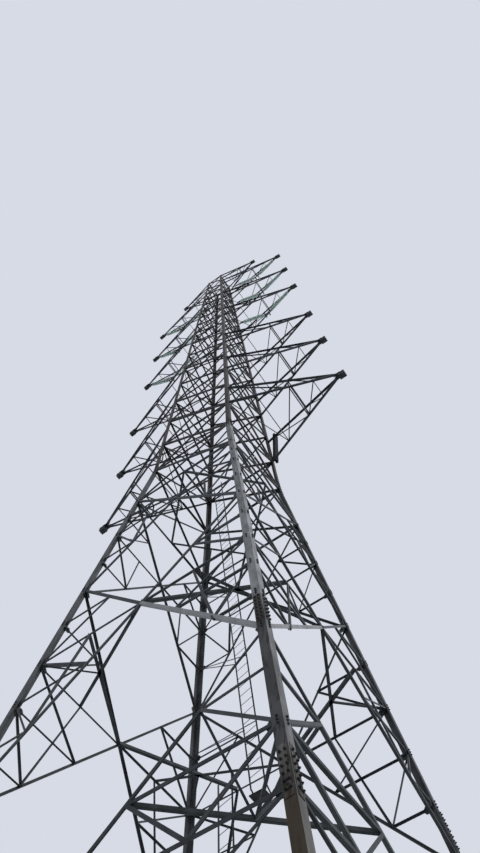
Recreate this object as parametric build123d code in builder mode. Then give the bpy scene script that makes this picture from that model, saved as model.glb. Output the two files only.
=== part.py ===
from build123d import *
from math import atan2, cos, degrees, hypot, pi
import os

# Lattice transmission pylon, modelled at half its real size, in millimetres.
# +X points along the crossarms on the near side, +Y along the line, +Z up.
# The origin is the middle of the near foot's base plate, on its underside.

# Body outline: half the outer width, measured across two opposite faces
GROUND_HALF = 2203.0
WAIST_HEIGHT = 12600.0
WAIST_HALF = 830.0
TOP_HEIGHT = 32400.0
TOP_HALF = 340.0

# Angle section of the legs
LEG_FLANGE = 85.0
LEG_THICKNESS = 10.0
UPPER_LEG_FLANGE = 75.0
UPPER_LEG_THICKNESS = 9.0
SPLICE_GAP = 0.3

# Feet
PLATE_SIDE = 260.0
PLATE_THICKNESS = 20.0
ANCHOR_SPACING = 190.0
ANCHOR_HOLE_RADIUS = 14.0
HEEL_OFFSET = 30.0

# Levels where the main diagonals of the wide lower body meet the legs
BASE_PANEL = 1560.0
LOWER_PANEL = 5310.0
MIDDLE_PANEL = 8680.0
UPPER_PANEL = 11300.0

# Lattice bars
MAIN_BAR = 52.0
SECOND_BAR = 32.0
BODY_BAR = 38.0
BODY_PANEL = 1250.0
FACE_DEPTH = 12.0
BASE_STEPS = 3
BASE_STOP_SHARE = 0.61
PLAN_DEPTH = 12.0
SEAT = 0.3

# Crossarms
ARM_HEIGHTS = (13800.0, 16410.0, 19110.0, 23100.0, 26380.0, 29700.0)
ARM_NAMES = ("first", "second", "third", "fourth", "fifth", "sixth")
ARM_REACH = 2945.0
ARM_RISE = 1000.0
ARM_CHORD = 46.0
ARM_DEPTH = 14.0
WEB_WIDTH = 28.0
WEB_DEPTH = 12.0
WEB_SHARE = 0.54
EARTH_REACH = 1885.0
EARTH_DROP = 950.0
STRUNG_ARMS = ("fourth", "fifth", "sixth")

# Hanger plates under the arms
HANGER_LENGTH = 150.0
HANGER_HEIGHT = 130.0
HANGER_THICKNESS = 14.0
HANGER_HOLE_RADIUS = 11.0
HANGER_EDGE = 26.0

# Glass insulator strings, two to a V
VEE_MIDDLE = 1780.0
VEE_SPREAD = 910.0
VEE_DROP = 950.0
PIN_RADIUS = 9.0
PIN_SIDES = 8
EAR_WIDTH = 26.0
EAR_THICKNESS = 8.0
EAR_LENGTH = 58.0
STRING_ROD = 14.0
SHED_COUNT = 12
SHED_PITCH = 85.0
SHED_RADIUS = 70.0
SHED_NECK = 28.0
SHED_SIDES = 6
YOKE_HALF = 90.0
YOKE_HEIGHT = 110.0
YOKE_THICKNESS = 14.0
YOKE_EDGE = 30.0
CLAMP_WIDTH = 36.0
CLAMP_LENGTH = 140.0
CLAMP_DROP = 60.0
WIRE_RADIUS = 8.0

# How a pin or a hole of few sides is turned
FLAT_SIDE_DOWN = {"major_radius": False, "rotation": 180.0 / PIN_SIDES}

SIDES = {"right": 1, "left": -1}
CORNERS = {"near": (1, -1), "right": (1, 1), "left": (-1, -1), "far": (-1, 1)}
FACES = {
    "right_face": (Vector(1, 0, 0), Vector(0, 1, 0)),
    "left_face": (Vector(-1, 0, 0), Vector(0, -1, 0)),
    "front_face": (Vector(0, -1, 0), Vector(1, 0, 0)),
    "back_face": (Vector(0, 1, 0), Vector(-1, 0, 0)),
}

LOWER_SLOPE = (GROUND_HALF - WAIST_HALF) / WAIST_HEIGHT
UPPER_SLOPE = (WAIST_HALF - TOP_HALF) / (TOP_HEIGHT - WAIST_HEIGHT)
AXIS = Vector(HEEL_OFFSET - GROUND_HALF, GROUND_HALF - HEEL_OFFSET, 0)

os.makedirs("parts", exist_ok=True)


def half_width(height):
    """Half the body's outer width at a height."""
    if height < WAIST_HEIGHT:
        return GROUND_HALF - LOWER_SLOPE * height
    return WAIST_HALF - UPPER_SLOPE * (height - WAIST_HEIGHT)


def slope_at(height):
    """How much the body's half width shrinks for each millimetre of height."""
    return LOWER_SLOPE if height < WAIST_HEIGHT else UPPER_SLOPE


def on_axis(across, along, height):
    """A point given from the tower's own vertical axis."""
    return AXIS + Vector(across, along, height)


def face_plane(face, height, inset=0.0):
    """The plane of one face at a height, its Y axis running up the slope."""
    normal, sideways = FACES[face]
    slope = slope_at(height)
    origin = AXIS + normal * (half_width(height) - inset) + Vector(0, 0, height)
    return Plane(origin=origin, x_dir=sideways, z_dir=normal + Vector(0, 0, slope))


def rise(low, high):
    """Distance along a face's slope between two heights."""
    return (high - low) * hypot(1.0, slope_at(low))


def flat_bar(start, end, width):
    """Adds one bar of a flat lattice to the sketch in hand."""
    across = end[0] - start[0]
    up = end[1] - start[1]
    middle = ((start[0] + end[0]) / 2, (start[1] + end[1]) / 2)
    with Locations(middle):
        Rectangle(hypot(across, up), width, rotation=degrees(atan2(up, across)))


def strut(start, end, width, depth):
    """Adds one bar between two points in space to the part in hand."""
    run = end - start
    sideways = Vector(0, 0, 1).cross(run)
    with Locations(Plane(origin=start, x_dir=sideways, z_dir=run)):
        Box(width, depth, run.length, align=(Align.CENTER, Align.CENTER, Align.MIN))


def save(part, label):
    part.label = label
    export_step(part, f"parts/{label}.step")


# Legs: equal angles with the heel outside, lofted up the corner of the body
def leg_heel(corner, height):
    """The outer corner of a leg's angle at a height."""
    reach = half_width(height)
    return on_axis(corner[0] * reach, corner[1] * reach, height)


def angle_points(corner, flange, thickness):
    """Outline of an equal angle whose heel is at the origin of the sketch."""
    sx, sy = corner
    return [
        (0, 0),
        (-sx * flange, 0),
        (-sx * flange, -sy * thickness),
        (-sx * thickness, -sy * thickness),
        (-sx * thickness, -sy * flange),
        (0, -sy * flange),
    ]


for name, corner in CORNERS.items():
    plate_reach = GROUND_HALF - HEEL_OFFSET
    plate_middle = on_axis(corner[0] * plate_reach, corner[1] * plate_reach, 0)
    with BuildPart() as lower_leg:
        for height in (PLATE_THICKNESS, WAIST_HEIGHT):
            with BuildSketch(Plane(origin=leg_heel(corner, height))):
                Polygon(*angle_points(corner, LEG_FLANGE, LEG_THICKNESS), align=None)
        loft(ruled=True)
        with BuildSketch(Plane(origin=plate_middle)):
            Rectangle(PLATE_SIDE, PLATE_SIDE)
            with GridLocations(ANCHOR_SPACING, ANCHOR_SPACING, 2, 2):
                Circle(ANCHOR_HOLE_RADIUS, mode=Mode.SUBTRACT)
        extrude(amount=PLATE_THICKNESS)
    save(lower_leg.part, f"{name}_lower_leg")

    with BuildPart() as upper_leg:
        for height in (WAIST_HEIGHT + SPLICE_GAP, TOP_HEIGHT):
            with BuildSketch(Plane(origin=leg_heel(corner, height))):
                Polygon(*angle_points(corner, UPPER_LEG_FLANGE, UPPER_LEG_THICKNESS), align=None)
        loft(ruled=True)
    save(upper_leg.part, f"{name}_upper_leg")


# Faces: each one a flat lattice that lies against the inside of the leg flanges
def reach_at(height, thickness):
    """How far a face's lattice reaches from its middle before the next face's."""
    return half_width(height) - thickness - FACE_DEPTH - 2 * SEAT


def gauge_at(height, flange):
    """Where the bars of a face meet the leg: the middle of its flange."""
    return half_width(height) - flange / 2


def trim_to_legs(low, high, thickness):
    """Trims the sketch in hand to the space between the two legs."""
    top = rise(low, high)
    wide = reach_at(low, thickness)
    narrow = reach_at(high, thickness)
    corners = [(-wide, 0), (wide, 0), (narrow, top), (-narrow, top)]
    Polygon(*corners, align=None, mode=Mode.INTERSECT)


def crossed_panel(base, low, high, flange, width):
    """Adds the two crossing diagonals of one panel; heights count from base."""
    for side in (1, -1):
        flat_bar(
            (side * gauge_at(low, flange), rise(base, low)),
            (-side * gauge_at(high, flange), rise(base, high)),
            width,
        )


def crossing_height(low, high):
    """Height where the diagonals of a crossed panel meet."""
    wide = gauge_at(low, LEG_FLANGE)
    narrow = gauge_at(high, LEG_FLANGE)
    return low + (high - low) * wide / (wide + narrow)


def level_bar(base, height, inner, flange, width):
    """Adds a level bar from each leg in to a distance from the middle."""
    for side in (1, -1):
        flat_bar(
            (side * gauge_at(height, flange), rise(base, height)),
            (side * inner, rise(base, height)),
            width,
        )


def diagonal_at(low, high, height):
    """Distance from the middle, at a height, of the diagonals of a crossed panel."""
    wide = gauge_at(low, LEG_FLANGE)
    narrow = gauge_at(high, LEG_FLANGE)
    return abs(wide - (wide + narrow) * (height - low) / (high - low))


def middle_panel(base, low, high):
    """Adds a wide crossed panel with a level bar where its diagonals cross."""
    crossed_panel(base, low, high, LEG_FLANGE, MAIN_BAR)
    level_bar(base, crossing_height(low, high), 0, LEG_FLANGE, SECOND_BAR)


def body_panels():
    """Lower and upper heights of the crossed panels between waist and top."""
    stops = (WAIST_HEIGHT + 2 * SEAT,) + ARM_HEIGHTS + (TOP_HEIGHT,)
    panels = []
    for low, high in zip(stops, stops[1:]):
        count = round((high - low) / BODY_PANEL)
        step = (high - low) / count
        panels += [(low + step * index, low + step * (index + 1)) for index in range(count)]
    return panels


for face in FACES:
    with BuildPart() as middle_face:
        with BuildSketch(face_plane(face, LOWER_PANEL, LEG_THICKNESS + SEAT)):
            middle_panel(LOWER_PANEL, LOWER_PANEL, MIDDLE_PANEL)
            middle_panel(LOWER_PANEL, MIDDLE_PANEL, UPPER_PANEL)
            crossed_panel(LOWER_PANEL, UPPER_PANEL, WAIST_HEIGHT, LEG_FLANGE, MAIN_BAR)
            level_bar(LOWER_PANEL, UPPER_PANEL, 0, LEG_FLANGE, MAIN_BAR)
            trim_to_legs(LOWER_PANEL, WAIST_HEIGHT - 2 * SEAT, LEG_THICKNESS)
        extrude(amount=-FACE_DEPTH)
    save(middle_face.part, f"{face}_middle")

    with BuildPart() as upper_face:
        base = WAIST_HEIGHT + 2 * SEAT
        with BuildSketch(face_plane(face, base, UPPER_LEG_THICKNESS + SEAT)):
            for low, high in body_panels():
                crossed_panel(base, low, high, UPPER_LEG_FLANGE, BODY_BAR)
            for height in (base,) + ARM_HEIGHTS + (TOP_HEIGHT,):
                level_bar(base, height, 0, UPPER_LEG_FLANGE, BODY_BAR)
            trim_to_legs(base, TOP_HEIGHT, UPPER_LEG_THICKNESS)
        extrude(amount=-FACE_DEPTH)
    save(upper_face.part, f"{face}_upper")


# Base braces: on each face of a leg, a triangle from the leg to the middle of the face
def base_triangle(side):
    """Adds one leg's half of a face's lowest crossed panel."""
    cross = crossing_height(BASE_PANEL, LOWER_PANEL)
    upper = [cross + (LOWER_PANEL - cross) * step / BASE_STEPS for step in range(1, BASE_STEPS)]

    def joint(across, height):
        return side * across, rise(BASE_PANEL, height)

    def on_leg(height):
        return joint(gauge_at(height, LEG_FLANGE), height)

    def on_diagonal(height):
        return joint(diagonal_at(BASE_PANEL, LOWER_PANEL, height), height)

    middle = joint(0, cross)
    stop = joint(BASE_STOP_SHARE * gauge_at(cross, LEG_FLANGE), cross)
    flat_bar(middle, on_leg(LOWER_PANEL), MAIN_BAR)
    flat_bar(middle, on_leg(BASE_PANEL), MAIN_BAR)
    flat_bar(middle, on_leg(cross), MAIN_BAR)
    flat_bar(on_diagonal(upper[0]), on_leg(upper[0]), MAIN_BAR)
    flat_bar(on_diagonal(upper[0]), stop, MAIN_BAR)
    flat_bar(stop, on_leg(upper[0]), MAIN_BAR)
    flat_bar(on_diagonal(upper[1]), on_leg(upper[0]), MAIN_BAR)


for name, corner in CORNERS.items():
    with BuildPart() as base_braces:
        for face, (normal, sideways) in FACES.items():
            outward = normal.X * corner[0] + normal.Y * corner[1]
            side = sideways.X * corner[0] + sideways.Y * corner[1]
            if outward > 0:
                low = BASE_PANEL
                high = LOWER_PANEL - 2 * SEAT
                wide = side * reach_at(low, LEG_THICKNESS)
                narrow = side * reach_at(high, LEG_THICKNESS)
                inner = side * SEAT / 2
                top = rise(low, high)
                outline = [(inner, -MAIN_BAR), (wide, -MAIN_BAR), (narrow, top), (inner, top)]
                with BuildSketch(face_plane(face, low, LEG_THICKNESS + SEAT)):
                    base_triangle(side)
                    Polygon(*outline, align=None, mode=Mode.INTERSECT)
                extrude(amount=-FACE_DEPTH)
    save(base_braces.part, f"{name}_base_braces")


# Plan braces: level bars inside the body that hold its corners square
def plan_reach(height):
    """Half the width of the level space inside the faces' lattices."""
    inside = LEG_THICKNESS if height < WAIST_HEIGHT else UPPER_LEG_THICKNESS
    return half_width(height + PLAN_DEPTH) - inside - FACE_DEPTH - 3 * SEAT


hip_height = crossing_height(BASE_PANEL, LOWER_PANEL)
hip_height += (LOWER_PANEL - hip_height) / BASE_STEPS
plan_levels = {
    "lower_plan_brace": hip_height,
    "middle_plan_brace": crossing_height(LOWER_PANEL, MIDDLE_PANEL),
    "waist_plan_brace": UPPER_PANEL,
}
for label, height in plan_levels.items():
    reach = plan_reach(height)
    if label == "middle_plan_brace":
        # In each corner two bars cross, each from the middle of one face to half the width of the next
        bars = [((reach, 0), (reach / 2, reach)), ((reach, 0), (reach / 2, -reach))]
        node = reach * 2 / 3
    else:
        # One bar cuts off each corner: at the hip from diagonal to diagonal, at the waist from middle to middle
        near = diagonal_at(BASE_PANEL, LOWER_PANEL, height) if height == hip_height else 0
        bars = [((reach, near), (near, reach))]
        node = (reach + near) / 2
    bars.append(((node, node), (reach, reach)))
    with BuildPart() as plan_brace:
        with BuildSketch(Plane(origin=on_axis(0, 0, height))):
            for turn in range(4):
                with Locations(Location((0, 0, 0), (0, 0, 90 * turn))):
                    for start, end in bars:
                        flat_bar(start, end, MAIN_BAR)
            Rectangle(2 * reach, 2 * reach, mode=Mode.INTERSECT)
        extrude(amount=PLAN_DEPTH)
    save(plan_brace.part, label)


# Crossarms: each a lattice wedge with a level side, bolted to one face of the body
TIP_REACH = ARM_REACH - HANGER_LENGTH / 2
VEE_ROOT = VEE_MIDDLE - VEE_SPREAD
VEE_OUTER = VEE_MIDDLE + VEE_SPREAD


def chord_root(side, along, height):
    """Where a chord meets the middle of a leg's flange, at the back of the flange."""
    reach = half_width(height) - FACE_DEPTH
    return on_axis(side * reach, along * gauge_at(height, UPPER_LEG_FLANGE), height)


def arm_frame(side, root_height, tip, stations, braced):
    """Sketches two chords that meet at the tip, with a bar between them at each station."""
    root = on_axis(side * (half_width(root_height) - FACE_DEPTH), 0, root_height)
    run = tip - root
    gauge = gauge_at(root_height, UPPER_LEG_FLANGE)
    with BuildSketch(Plane(origin=root, x_dir=run, z_dir=run.cross(Vector(0, 1, 0)))) as frame:
        for along in (-1, 1):
            flat_bar((0, along * gauge), (run.length, 0), ARM_CHORD)
        for share in stations:
            across = gauge * (1 - share)
            flat_bar((run.length * share, -across), (run.length * share, across), WEB_WIDTH)
        if braced:
            flat_bar((0, -gauge), (run.length * WEB_SHARE, gauge * (1 - WEB_SHARE)), WEB_WIDTH)
    return frame.sketch


def arm_face(side, height):
    """The plane just clear of the legs that an arm is cut off at."""
    clear = half_width(height) + SEAT
    normal = Vector(side, 0, UPPER_SLOPE)
    return Plane(origin=on_axis(side * clear, 0, height), z_dir=normal)


def hanger_hole(side, reach, height):
    """Middle of the hole in the hanger plate at a reach along an arm."""
    drop = HANGER_HEIGHT - ARM_DEPTH - HANGER_EDGE
    return on_axis(side * reach, 0, height - drop)


arms = []
for arm_name, height in zip(ARM_NAMES, ARM_HEIGHTS):
    arms.append((f"{arm_name}_arm", (height, height + ARM_RISE), TIP_REACH))
earth_height = TOP_HEIGHT - ARM_CHORD / 2
earth_tip = EARTH_REACH - HANGER_LENGTH / 2
arms.append(("earth_wire_arm", (earth_height, earth_height - EARTH_DROP), earth_tip))

for label, heights, reach in arms:
    height = heights[0]
    strung = label.split("_")[0] in STRUNG_ARMS
    root_reach = half_width(height) - FACE_DEPTH
    stations = [WEB_SHARE]
    plates = [(reach, reach - HANGER_LENGTH / 2, reach + HANGER_LENGTH / 2)]
    if strung:
        stations.append((VEE_ROOT - root_reach) / (reach - root_reach))
        plates = [
            (VEE_OUTER, VEE_OUTER - HANGER_LENGTH / 2, ARM_REACH),
            (VEE_ROOT, VEE_ROOT - HANGER_LENGTH / 2, VEE_ROOT + HANGER_LENGTH / 2),
        ]
    for hand, side in SIDES.items():
        tip = on_axis(side * reach, 0, height)
        holes = [hanger_hole(side, hole_reach, height) for hole_reach, inner, outer in plates]
        with BuildPart() as arm:
            for frame in (
                arm_frame(side, heights[0], tip, stations, True),
                arm_frame(side, heights[1], tip, [WEB_SHARE], False),
            ):
                extrude(frame, amount=ARM_DEPTH / 2, both=True)
            for along in (-1, 1):
                level_root, upper_root = [chord_root(side, along, root_height) for root_height in heights]
                level_web = level_root + (tip - level_root) * WEB_SHARE
                upper_web = upper_root + (tip - upper_root) * WEB_SHARE
                strut(level_web, upper_web, WEB_WIDTH, WEB_DEPTH)
                strut(upper_root, level_web, WEB_WIDTH, WEB_DEPTH)
            for hole_reach, inner, outer in plates:
                with Locations(hanger_hole(side, (inner + outer) / 2, height) - Vector(0, 0, HANGER_EDGE)):
                    Box(
                        outer - inner,
                        HANGER_THICKNESS,
                        HANGER_HEIGHT,
                        align=(Align.CENTER, Align.CENTER, Align.MIN),
                    )
            split(bisect_by=arm_face(side, height), keep=Keep.TOP)
            with BuildSketch(*[Plane(origin=hole, z_dir=(0, 1, 0)) for hole in holes]):
                if strung:
                    RegularPolygon(HANGER_HOLE_RADIUS, PIN_SIDES, **FLAT_SIDE_DOWN)
                else:
                    Circle(HANGER_HOLE_RADIUS)
            extrude(amount=HANGER_THICKNESS, both=True, mode=Mode.SUBTRACT)
        save(arm.part, f"{hand}_{label}")


# Insulator strings: two strings of glass discs that meet at a yoke with twin clamps
shed_flat = SHED_RADIUS * cos(pi / SHED_SIDES)
neck_flat = SHED_NECK * cos(pi / SHED_SIDES)
teeth = []
for index in range(SHED_COUNT):
    teeth += [(neck_flat, SHED_PITCH * index), (shed_flat, SHED_PITCH * (index + 1))]
saw_edge = teeth + [(-across, along) for across, along in reversed(teeth)]
ear_inside = HANGER_THICKNESS / 2 + SEAT
ear_outside = ear_inside + EAR_THICKNESS

with BuildPart() as shed_stack:
    for pair in range(SHED_SIDES // 2):
        with BuildSketch(Plane.XZ.rotated((0, 0, pair * 360 / SHED_SIDES))):
            Polygon(*saw_edge, align=None)
        mode = Mode.INTERSECT if pair else Mode.ADD
        extrude(amount=SHED_RADIUS, both=True, mode=mode)

for arm_name, height in zip(ARM_NAMES, ARM_HEIGHTS):
    if arm_name not in STRUNG_ARMS:
        continue
    for hand, side in SIDES.items():
        pin_drop = Vector(0, 0, HANGER_HOLE_RADIUS - PIN_RADIUS - SEAT)
        vertex = hanger_hole(side, VEE_MIDDLE, height) - pin_drop - Vector(0, 0, VEE_DROP)
        with BuildPart() as vee_string:
            for reach, toward in ((VEE_OUTER, side), (VEE_ROOT, -side)):
                pin = hanger_hole(side, reach, height) - pin_drop
                foot = vertex + Vector(toward * YOKE_HALF, 0, 0)
                run = foot - pin
                with BuildSketch(Plane(origin=pin, x_dir=(0, 1, 0), z_dir=Vector(0, 1, 0).cross(run))):
                    Polygon(
                        (-ear_outside, -EAR_WIDTH / 2),
                        (-ear_inside, -EAR_WIDTH / 2),
                        (-ear_inside, EAR_LENGTH),
                        (ear_inside, EAR_LENGTH),
                        (ear_inside, -EAR_WIDTH / 2),
                        (ear_outside, -EAR_WIDTH / 2),
                        (ear_outside, EAR_LENGTH + EAR_THICKNESS),
                        (-ear_outside, EAR_LENGTH + EAR_THICKNESS),
                        align=None,
                    )
                extrude(amount=EAR_WIDTH / 2, both=True)
                with BuildSketch(Plane(origin=pin, z_dir=(0, 1, 0))):
                    RegularPolygon(PIN_RADIUS, PIN_SIDES, **FLAT_SIDE_DOWN)
                extrude(amount=ear_outside - EAR_THICKNESS / 2, both=True)
                line = Plane(origin=pin, x_dir=(0, 1, 0), z_dir=run)
                with Locations(line.offset(EAR_LENGTH)):
                    Box(
                        STRING_ROD,
                        STRING_ROD,
                        run.length - EAR_LENGTH,
                        align=(Align.CENTER, Align.CENTER, Align.MIN),
                    )
                first_cap = (run.length + EAR_LENGTH - SHED_PITCH * SHED_COUNT) / 2
                with Locations(line.offset(first_cap)):
                    add(shed_stack.part)
            with BuildSketch(Plane(origin=vertex, x_dir=(1, 0, 0), z_dir=(0, -1, 0))):
                wide = YOKE_HALF + YOKE_EDGE
                Polygon(
                    (-wide, YOKE_EDGE),
                    (wide, YOKE_EDGE),
                    (wide, 0),
                    (YOKE_HALF, -YOKE_HEIGHT),
                    (-YOKE_HALF, -YOKE_HEIGHT),
                    (-wide, 0),
                    align=None,
                )
            extrude(amount=YOKE_THICKNESS / 2, both=True)
            clamp_reach = YOKE_HALF - YOKE_EDGE
            clamp_top = -YOKE_HEIGHT - CLAMP_DROP / 2
            clamps = [vertex + Vector(x, 0, clamp_top) for x in (clamp_reach, -clamp_reach)]
            with Locations(*clamps):
                Box(YOKE_THICKNESS, YOKE_THICKNESS, 2 * CLAMP_DROP)
            shoes = [clamp - Vector(0, 0, CLAMP_DROP) for clamp in clamps]
            with Locations(*shoes):
                Box(CLAMP_WIDTH, CLAMP_LENGTH, CLAMP_WIDTH)
            with BuildSketch(*[Plane(origin=shoe, z_dir=(0, 1, 0)) for shoe in shoes]):
                RegularPolygon(WIRE_RADIUS, PIN_SIDES, **FLAT_SIDE_DOWN)
            extrude(amount=CLAMP_LENGTH, both=True, mode=Mode.SUBTRACT)
        save(vee_string.part, f"{hand}_{arm_name}_vee_string")
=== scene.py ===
import logging
import math
import random
from collections.abc import Callable
from dataclasses import dataclass, field
from enum import Enum
from functools import partial

import bpy
from mathutils import Matrix, Vector


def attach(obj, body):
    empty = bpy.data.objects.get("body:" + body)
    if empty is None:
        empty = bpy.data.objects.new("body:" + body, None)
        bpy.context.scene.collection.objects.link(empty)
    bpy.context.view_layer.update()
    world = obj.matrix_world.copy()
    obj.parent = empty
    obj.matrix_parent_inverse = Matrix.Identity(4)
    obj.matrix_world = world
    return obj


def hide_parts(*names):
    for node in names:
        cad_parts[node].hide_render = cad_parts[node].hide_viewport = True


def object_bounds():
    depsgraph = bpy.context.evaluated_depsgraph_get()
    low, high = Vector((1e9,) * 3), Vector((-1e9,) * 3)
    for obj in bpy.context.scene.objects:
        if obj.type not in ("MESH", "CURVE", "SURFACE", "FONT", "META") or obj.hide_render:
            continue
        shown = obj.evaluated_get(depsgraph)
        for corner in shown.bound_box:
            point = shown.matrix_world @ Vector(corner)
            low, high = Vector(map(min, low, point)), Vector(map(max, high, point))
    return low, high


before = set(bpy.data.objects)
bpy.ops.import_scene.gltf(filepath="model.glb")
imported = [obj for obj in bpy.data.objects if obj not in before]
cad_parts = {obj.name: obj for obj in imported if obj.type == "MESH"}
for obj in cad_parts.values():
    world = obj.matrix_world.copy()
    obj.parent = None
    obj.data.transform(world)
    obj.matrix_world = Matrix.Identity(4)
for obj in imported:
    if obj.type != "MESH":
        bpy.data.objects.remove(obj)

LOG = logging.getLogger("pylon")
ROOT = "root"
UP = Vector((0, 0, 1))
SEAT = 0.0003  # gap that keeps touching surfaces apart
PLATE = 0.005  # thickness of gussets and cover plates
FACING = 0.9  # least part of a normal along a direction that its side faces
CAD_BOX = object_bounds()
DICE = random.Random(11)
MIX_FACTOR, MIX_FIRST, MIX_SECOND, MIX_COLOUR = 0, 6, 7, 2  # a colour mix's sockets

Pair = tuple[float, float]
Triple = tuple[float, float, float]
Piece = bpy.types.Object
Socket = bpy.types.NodeSocket
Inputs = dict[str | int, object]
Step = Callable[[], set[str]]


def columns(first: Vector, second: Vector, third: Vector, origin: Vector) -> Matrix:
    """Makes a placing from the directions that X, Y and Z turn into.

    Args:
        first: Where X goes.
        second: Where Y goes.
        third: Where Z goes.
        origin: Where the origin goes.

    Returns:
        The placing.
    """
    place = Matrix((first, second, third)).transposed().to_4x4()
    place.translation = origin
    return place


def aimed(spot: Vector, way: Vector) -> Matrix:
    """Makes the placing that turns Z one way at a spot."""
    return Matrix.Translation(spot) @ way.to_track_quat("Z", "Y").to_matrix().to_4x4()


def centred(count: int, pitch: float) -> list[float]:
    """Gives a row of even steps about zero."""
    return [(index - (count - 1) / 2) * pitch for index in range(count)]


def on_top(side: bpy.types.MeshPolygon) -> bool:
    """Tells whether a side of a mesh points up."""
    return side.normal.z > FACING


def underneath(side: bpy.types.MeshPolygon) -> bool:
    """Tells whether a side of a mesh points down."""
    return side.normal.z < -FACING


def along_y(side: bpy.types.MeshPolygon) -> bool:
    """Tells whether a side of a mesh points along Y, either way."""
    return abs(side.normal.y) > FACING


def inset(thickness: float, **options: bool) -> Step:
    """Gives the step that draws a rim inside the picked sides."""
    return partial(bpy.ops.mesh.inset, thickness=thickness, **options)


def extrude(x: float, y: float, z: float) -> Step:
    """Gives the step that pulls the picked sides out by a distance."""
    return partial(bpy.ops.mesh.extrude_region_move, TRANSFORM_OT_translate={"value": (x, y, z)})


def resize(x: float, y: float, z: float, **options: Triple) -> Step:
    """Gives the step that stretches the picked sides."""
    return partial(bpy.ops.transform.resize, value=(x, y, z), **options)


def turned(stations: tuple[Pair, ...]) -> list[Step]:
    """Gives the steps that draw a round end out.

    Args:
        stations: Scale against the station before, and distance along Z from it.

    Returns:
        The steps, in order.
    """
    steps = []
    for scale, rise in stations:
        steps += [extrude(0, 0, rise), resize(scale, scale, 1)]
    return steps


class Corner(Enum):
    """The four legs, by the signs of X and Y from the axis."""

    NEAR = (1, -1)
    RIGHT = (1, 1)
    LEFT = (-1, -1)
    FAR = (-1, 1)

    @property
    def label(self) -> str:
        """Start of the names of the leg's nodes."""
        return self.name.lower()


class Face(Enum):
    """The four faces of the body, by outward normal and sideways direction."""

    RIGHT = ((1, 0, 0), (0, 1, 0))
    LEFT = ((-1, 0, 0), (0, -1, 0))
    FRONT = ((0, -1, 0), (1, 0, 0))
    BACK = ((0, 1, 0), (-1, 0, 0))

    @property
    def label(self) -> str:
        """Start of the names of the face's nodes."""
        return f"{self.name.lower()}_face"

    @property
    def normal(self) -> Vector:
        """Level direction out of the body."""
        return Vector(self.value[0])

    @property
    def sideways(self) -> Vector:
        """Level direction along the face."""
        return Vector(self.value[1])


class Hand(Enum):
    """The two sides that the crossarms reach to."""

    RIGHT = 1
    LEFT = -1

    @property
    def label(self) -> str:
        """Start of the names of the side's nodes."""
        return self.name.lower()

    @property
    def way(self) -> Vector:
        """Level direction that the arms reach in."""
        return Vector((self.value, 0, 0))


class Gauge(Enum):
    """Sizes of angle section: width of a flange and its thickness."""

    PALE = (0.038, 0.0048)
    HEAVY = (0.030, 0.0050)
    CHORD = (0.039, 0.0045)
    BODY = (0.034, 0.0040)
    SECOND = (0.022, 0.0035)
    WEB = (0.021, 0.0030)
    LACING = (0.015, 0.0025)
    STILE = (0.012, 0.0025)

    @property
    def thickness(self) -> float:
        """Thickness of both flanges."""
        return self.value[1]


@dataclass(frozen=True)
class Outline:
    """Outer shape of the tower's body, which every piece is placed by."""

    axis: Vector
    ground_half: float = 2.203
    waist_height: float = 12.6
    waist_half: float = 0.83
    top_height: float = 32.4
    top_half: float = 0.34
    lower_leg: Pair = (0.085, 0.010)
    upper_leg: Pair = (0.075, 0.009)

    def half_width(self, height: float) -> float:
        """Gives half the body's outer width.

        Args:
            height: Height above the ground.

        Returns:
            The distance from the axis to a face.
        """
        if height < self.waist_height:
            slope = (self.ground_half - self.waist_half) / self.waist_height
            return self.ground_half - slope * height
        slope = (self.waist_half - self.top_half) / (self.top_height - self.waist_height)
        return self.waist_half - slope * (height - self.waist_height)

    def leg_section(self, height: float) -> Pair:
        """Gives the flange width and the thickness of the legs at a height."""
        return self.lower_leg if height < self.waist_height else self.upper_leg

    def gauge_line(self, height: float) -> float:
        """Gives how far from a face's middle its bars meet the leg."""
        return self.half_width(height) - self.leg_section(height)[0] / 2

    def heel(self, corner: Corner, height: float) -> Vector:
        """Gives the outer corner of a leg at a height."""
        across, along = (sign * self.half_width(height) for sign in corner.value)
        return self.axis + Vector((across, along, height))

    def on_face(self, face: Face, joint: Pair, depth: float = 0.0) -> Vector:
        """Turns a place on a face into a point in space.

        Args:
            face: The face that the place lies on.
            joint: Distance from the face's middle, and height.
            depth: Distance behind the legs' outer side.

        Returns:
            The point in the row's frame.
        """
        across, height = joint
        out = face.normal * (self.half_width(height) - depth)
        return self.axis + out + face.sideways * across + UP * height

    def in_arm_plane(self, hand: Hand, reach: float, height: float) -> Vector:
        """Gives a point in the upright plane that the arms reach out in."""
        return self.axis + Vector((hand.value * reach, 0, height))

    def leg_inset(self, height: float, layer: int = 0) -> float:
        """Gives how far behind a leg's outer side a layer of bars lies."""
        return self.leg_section(height)[1] + SEAT + layer * Gauge.HEAVY.thickness


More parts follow.
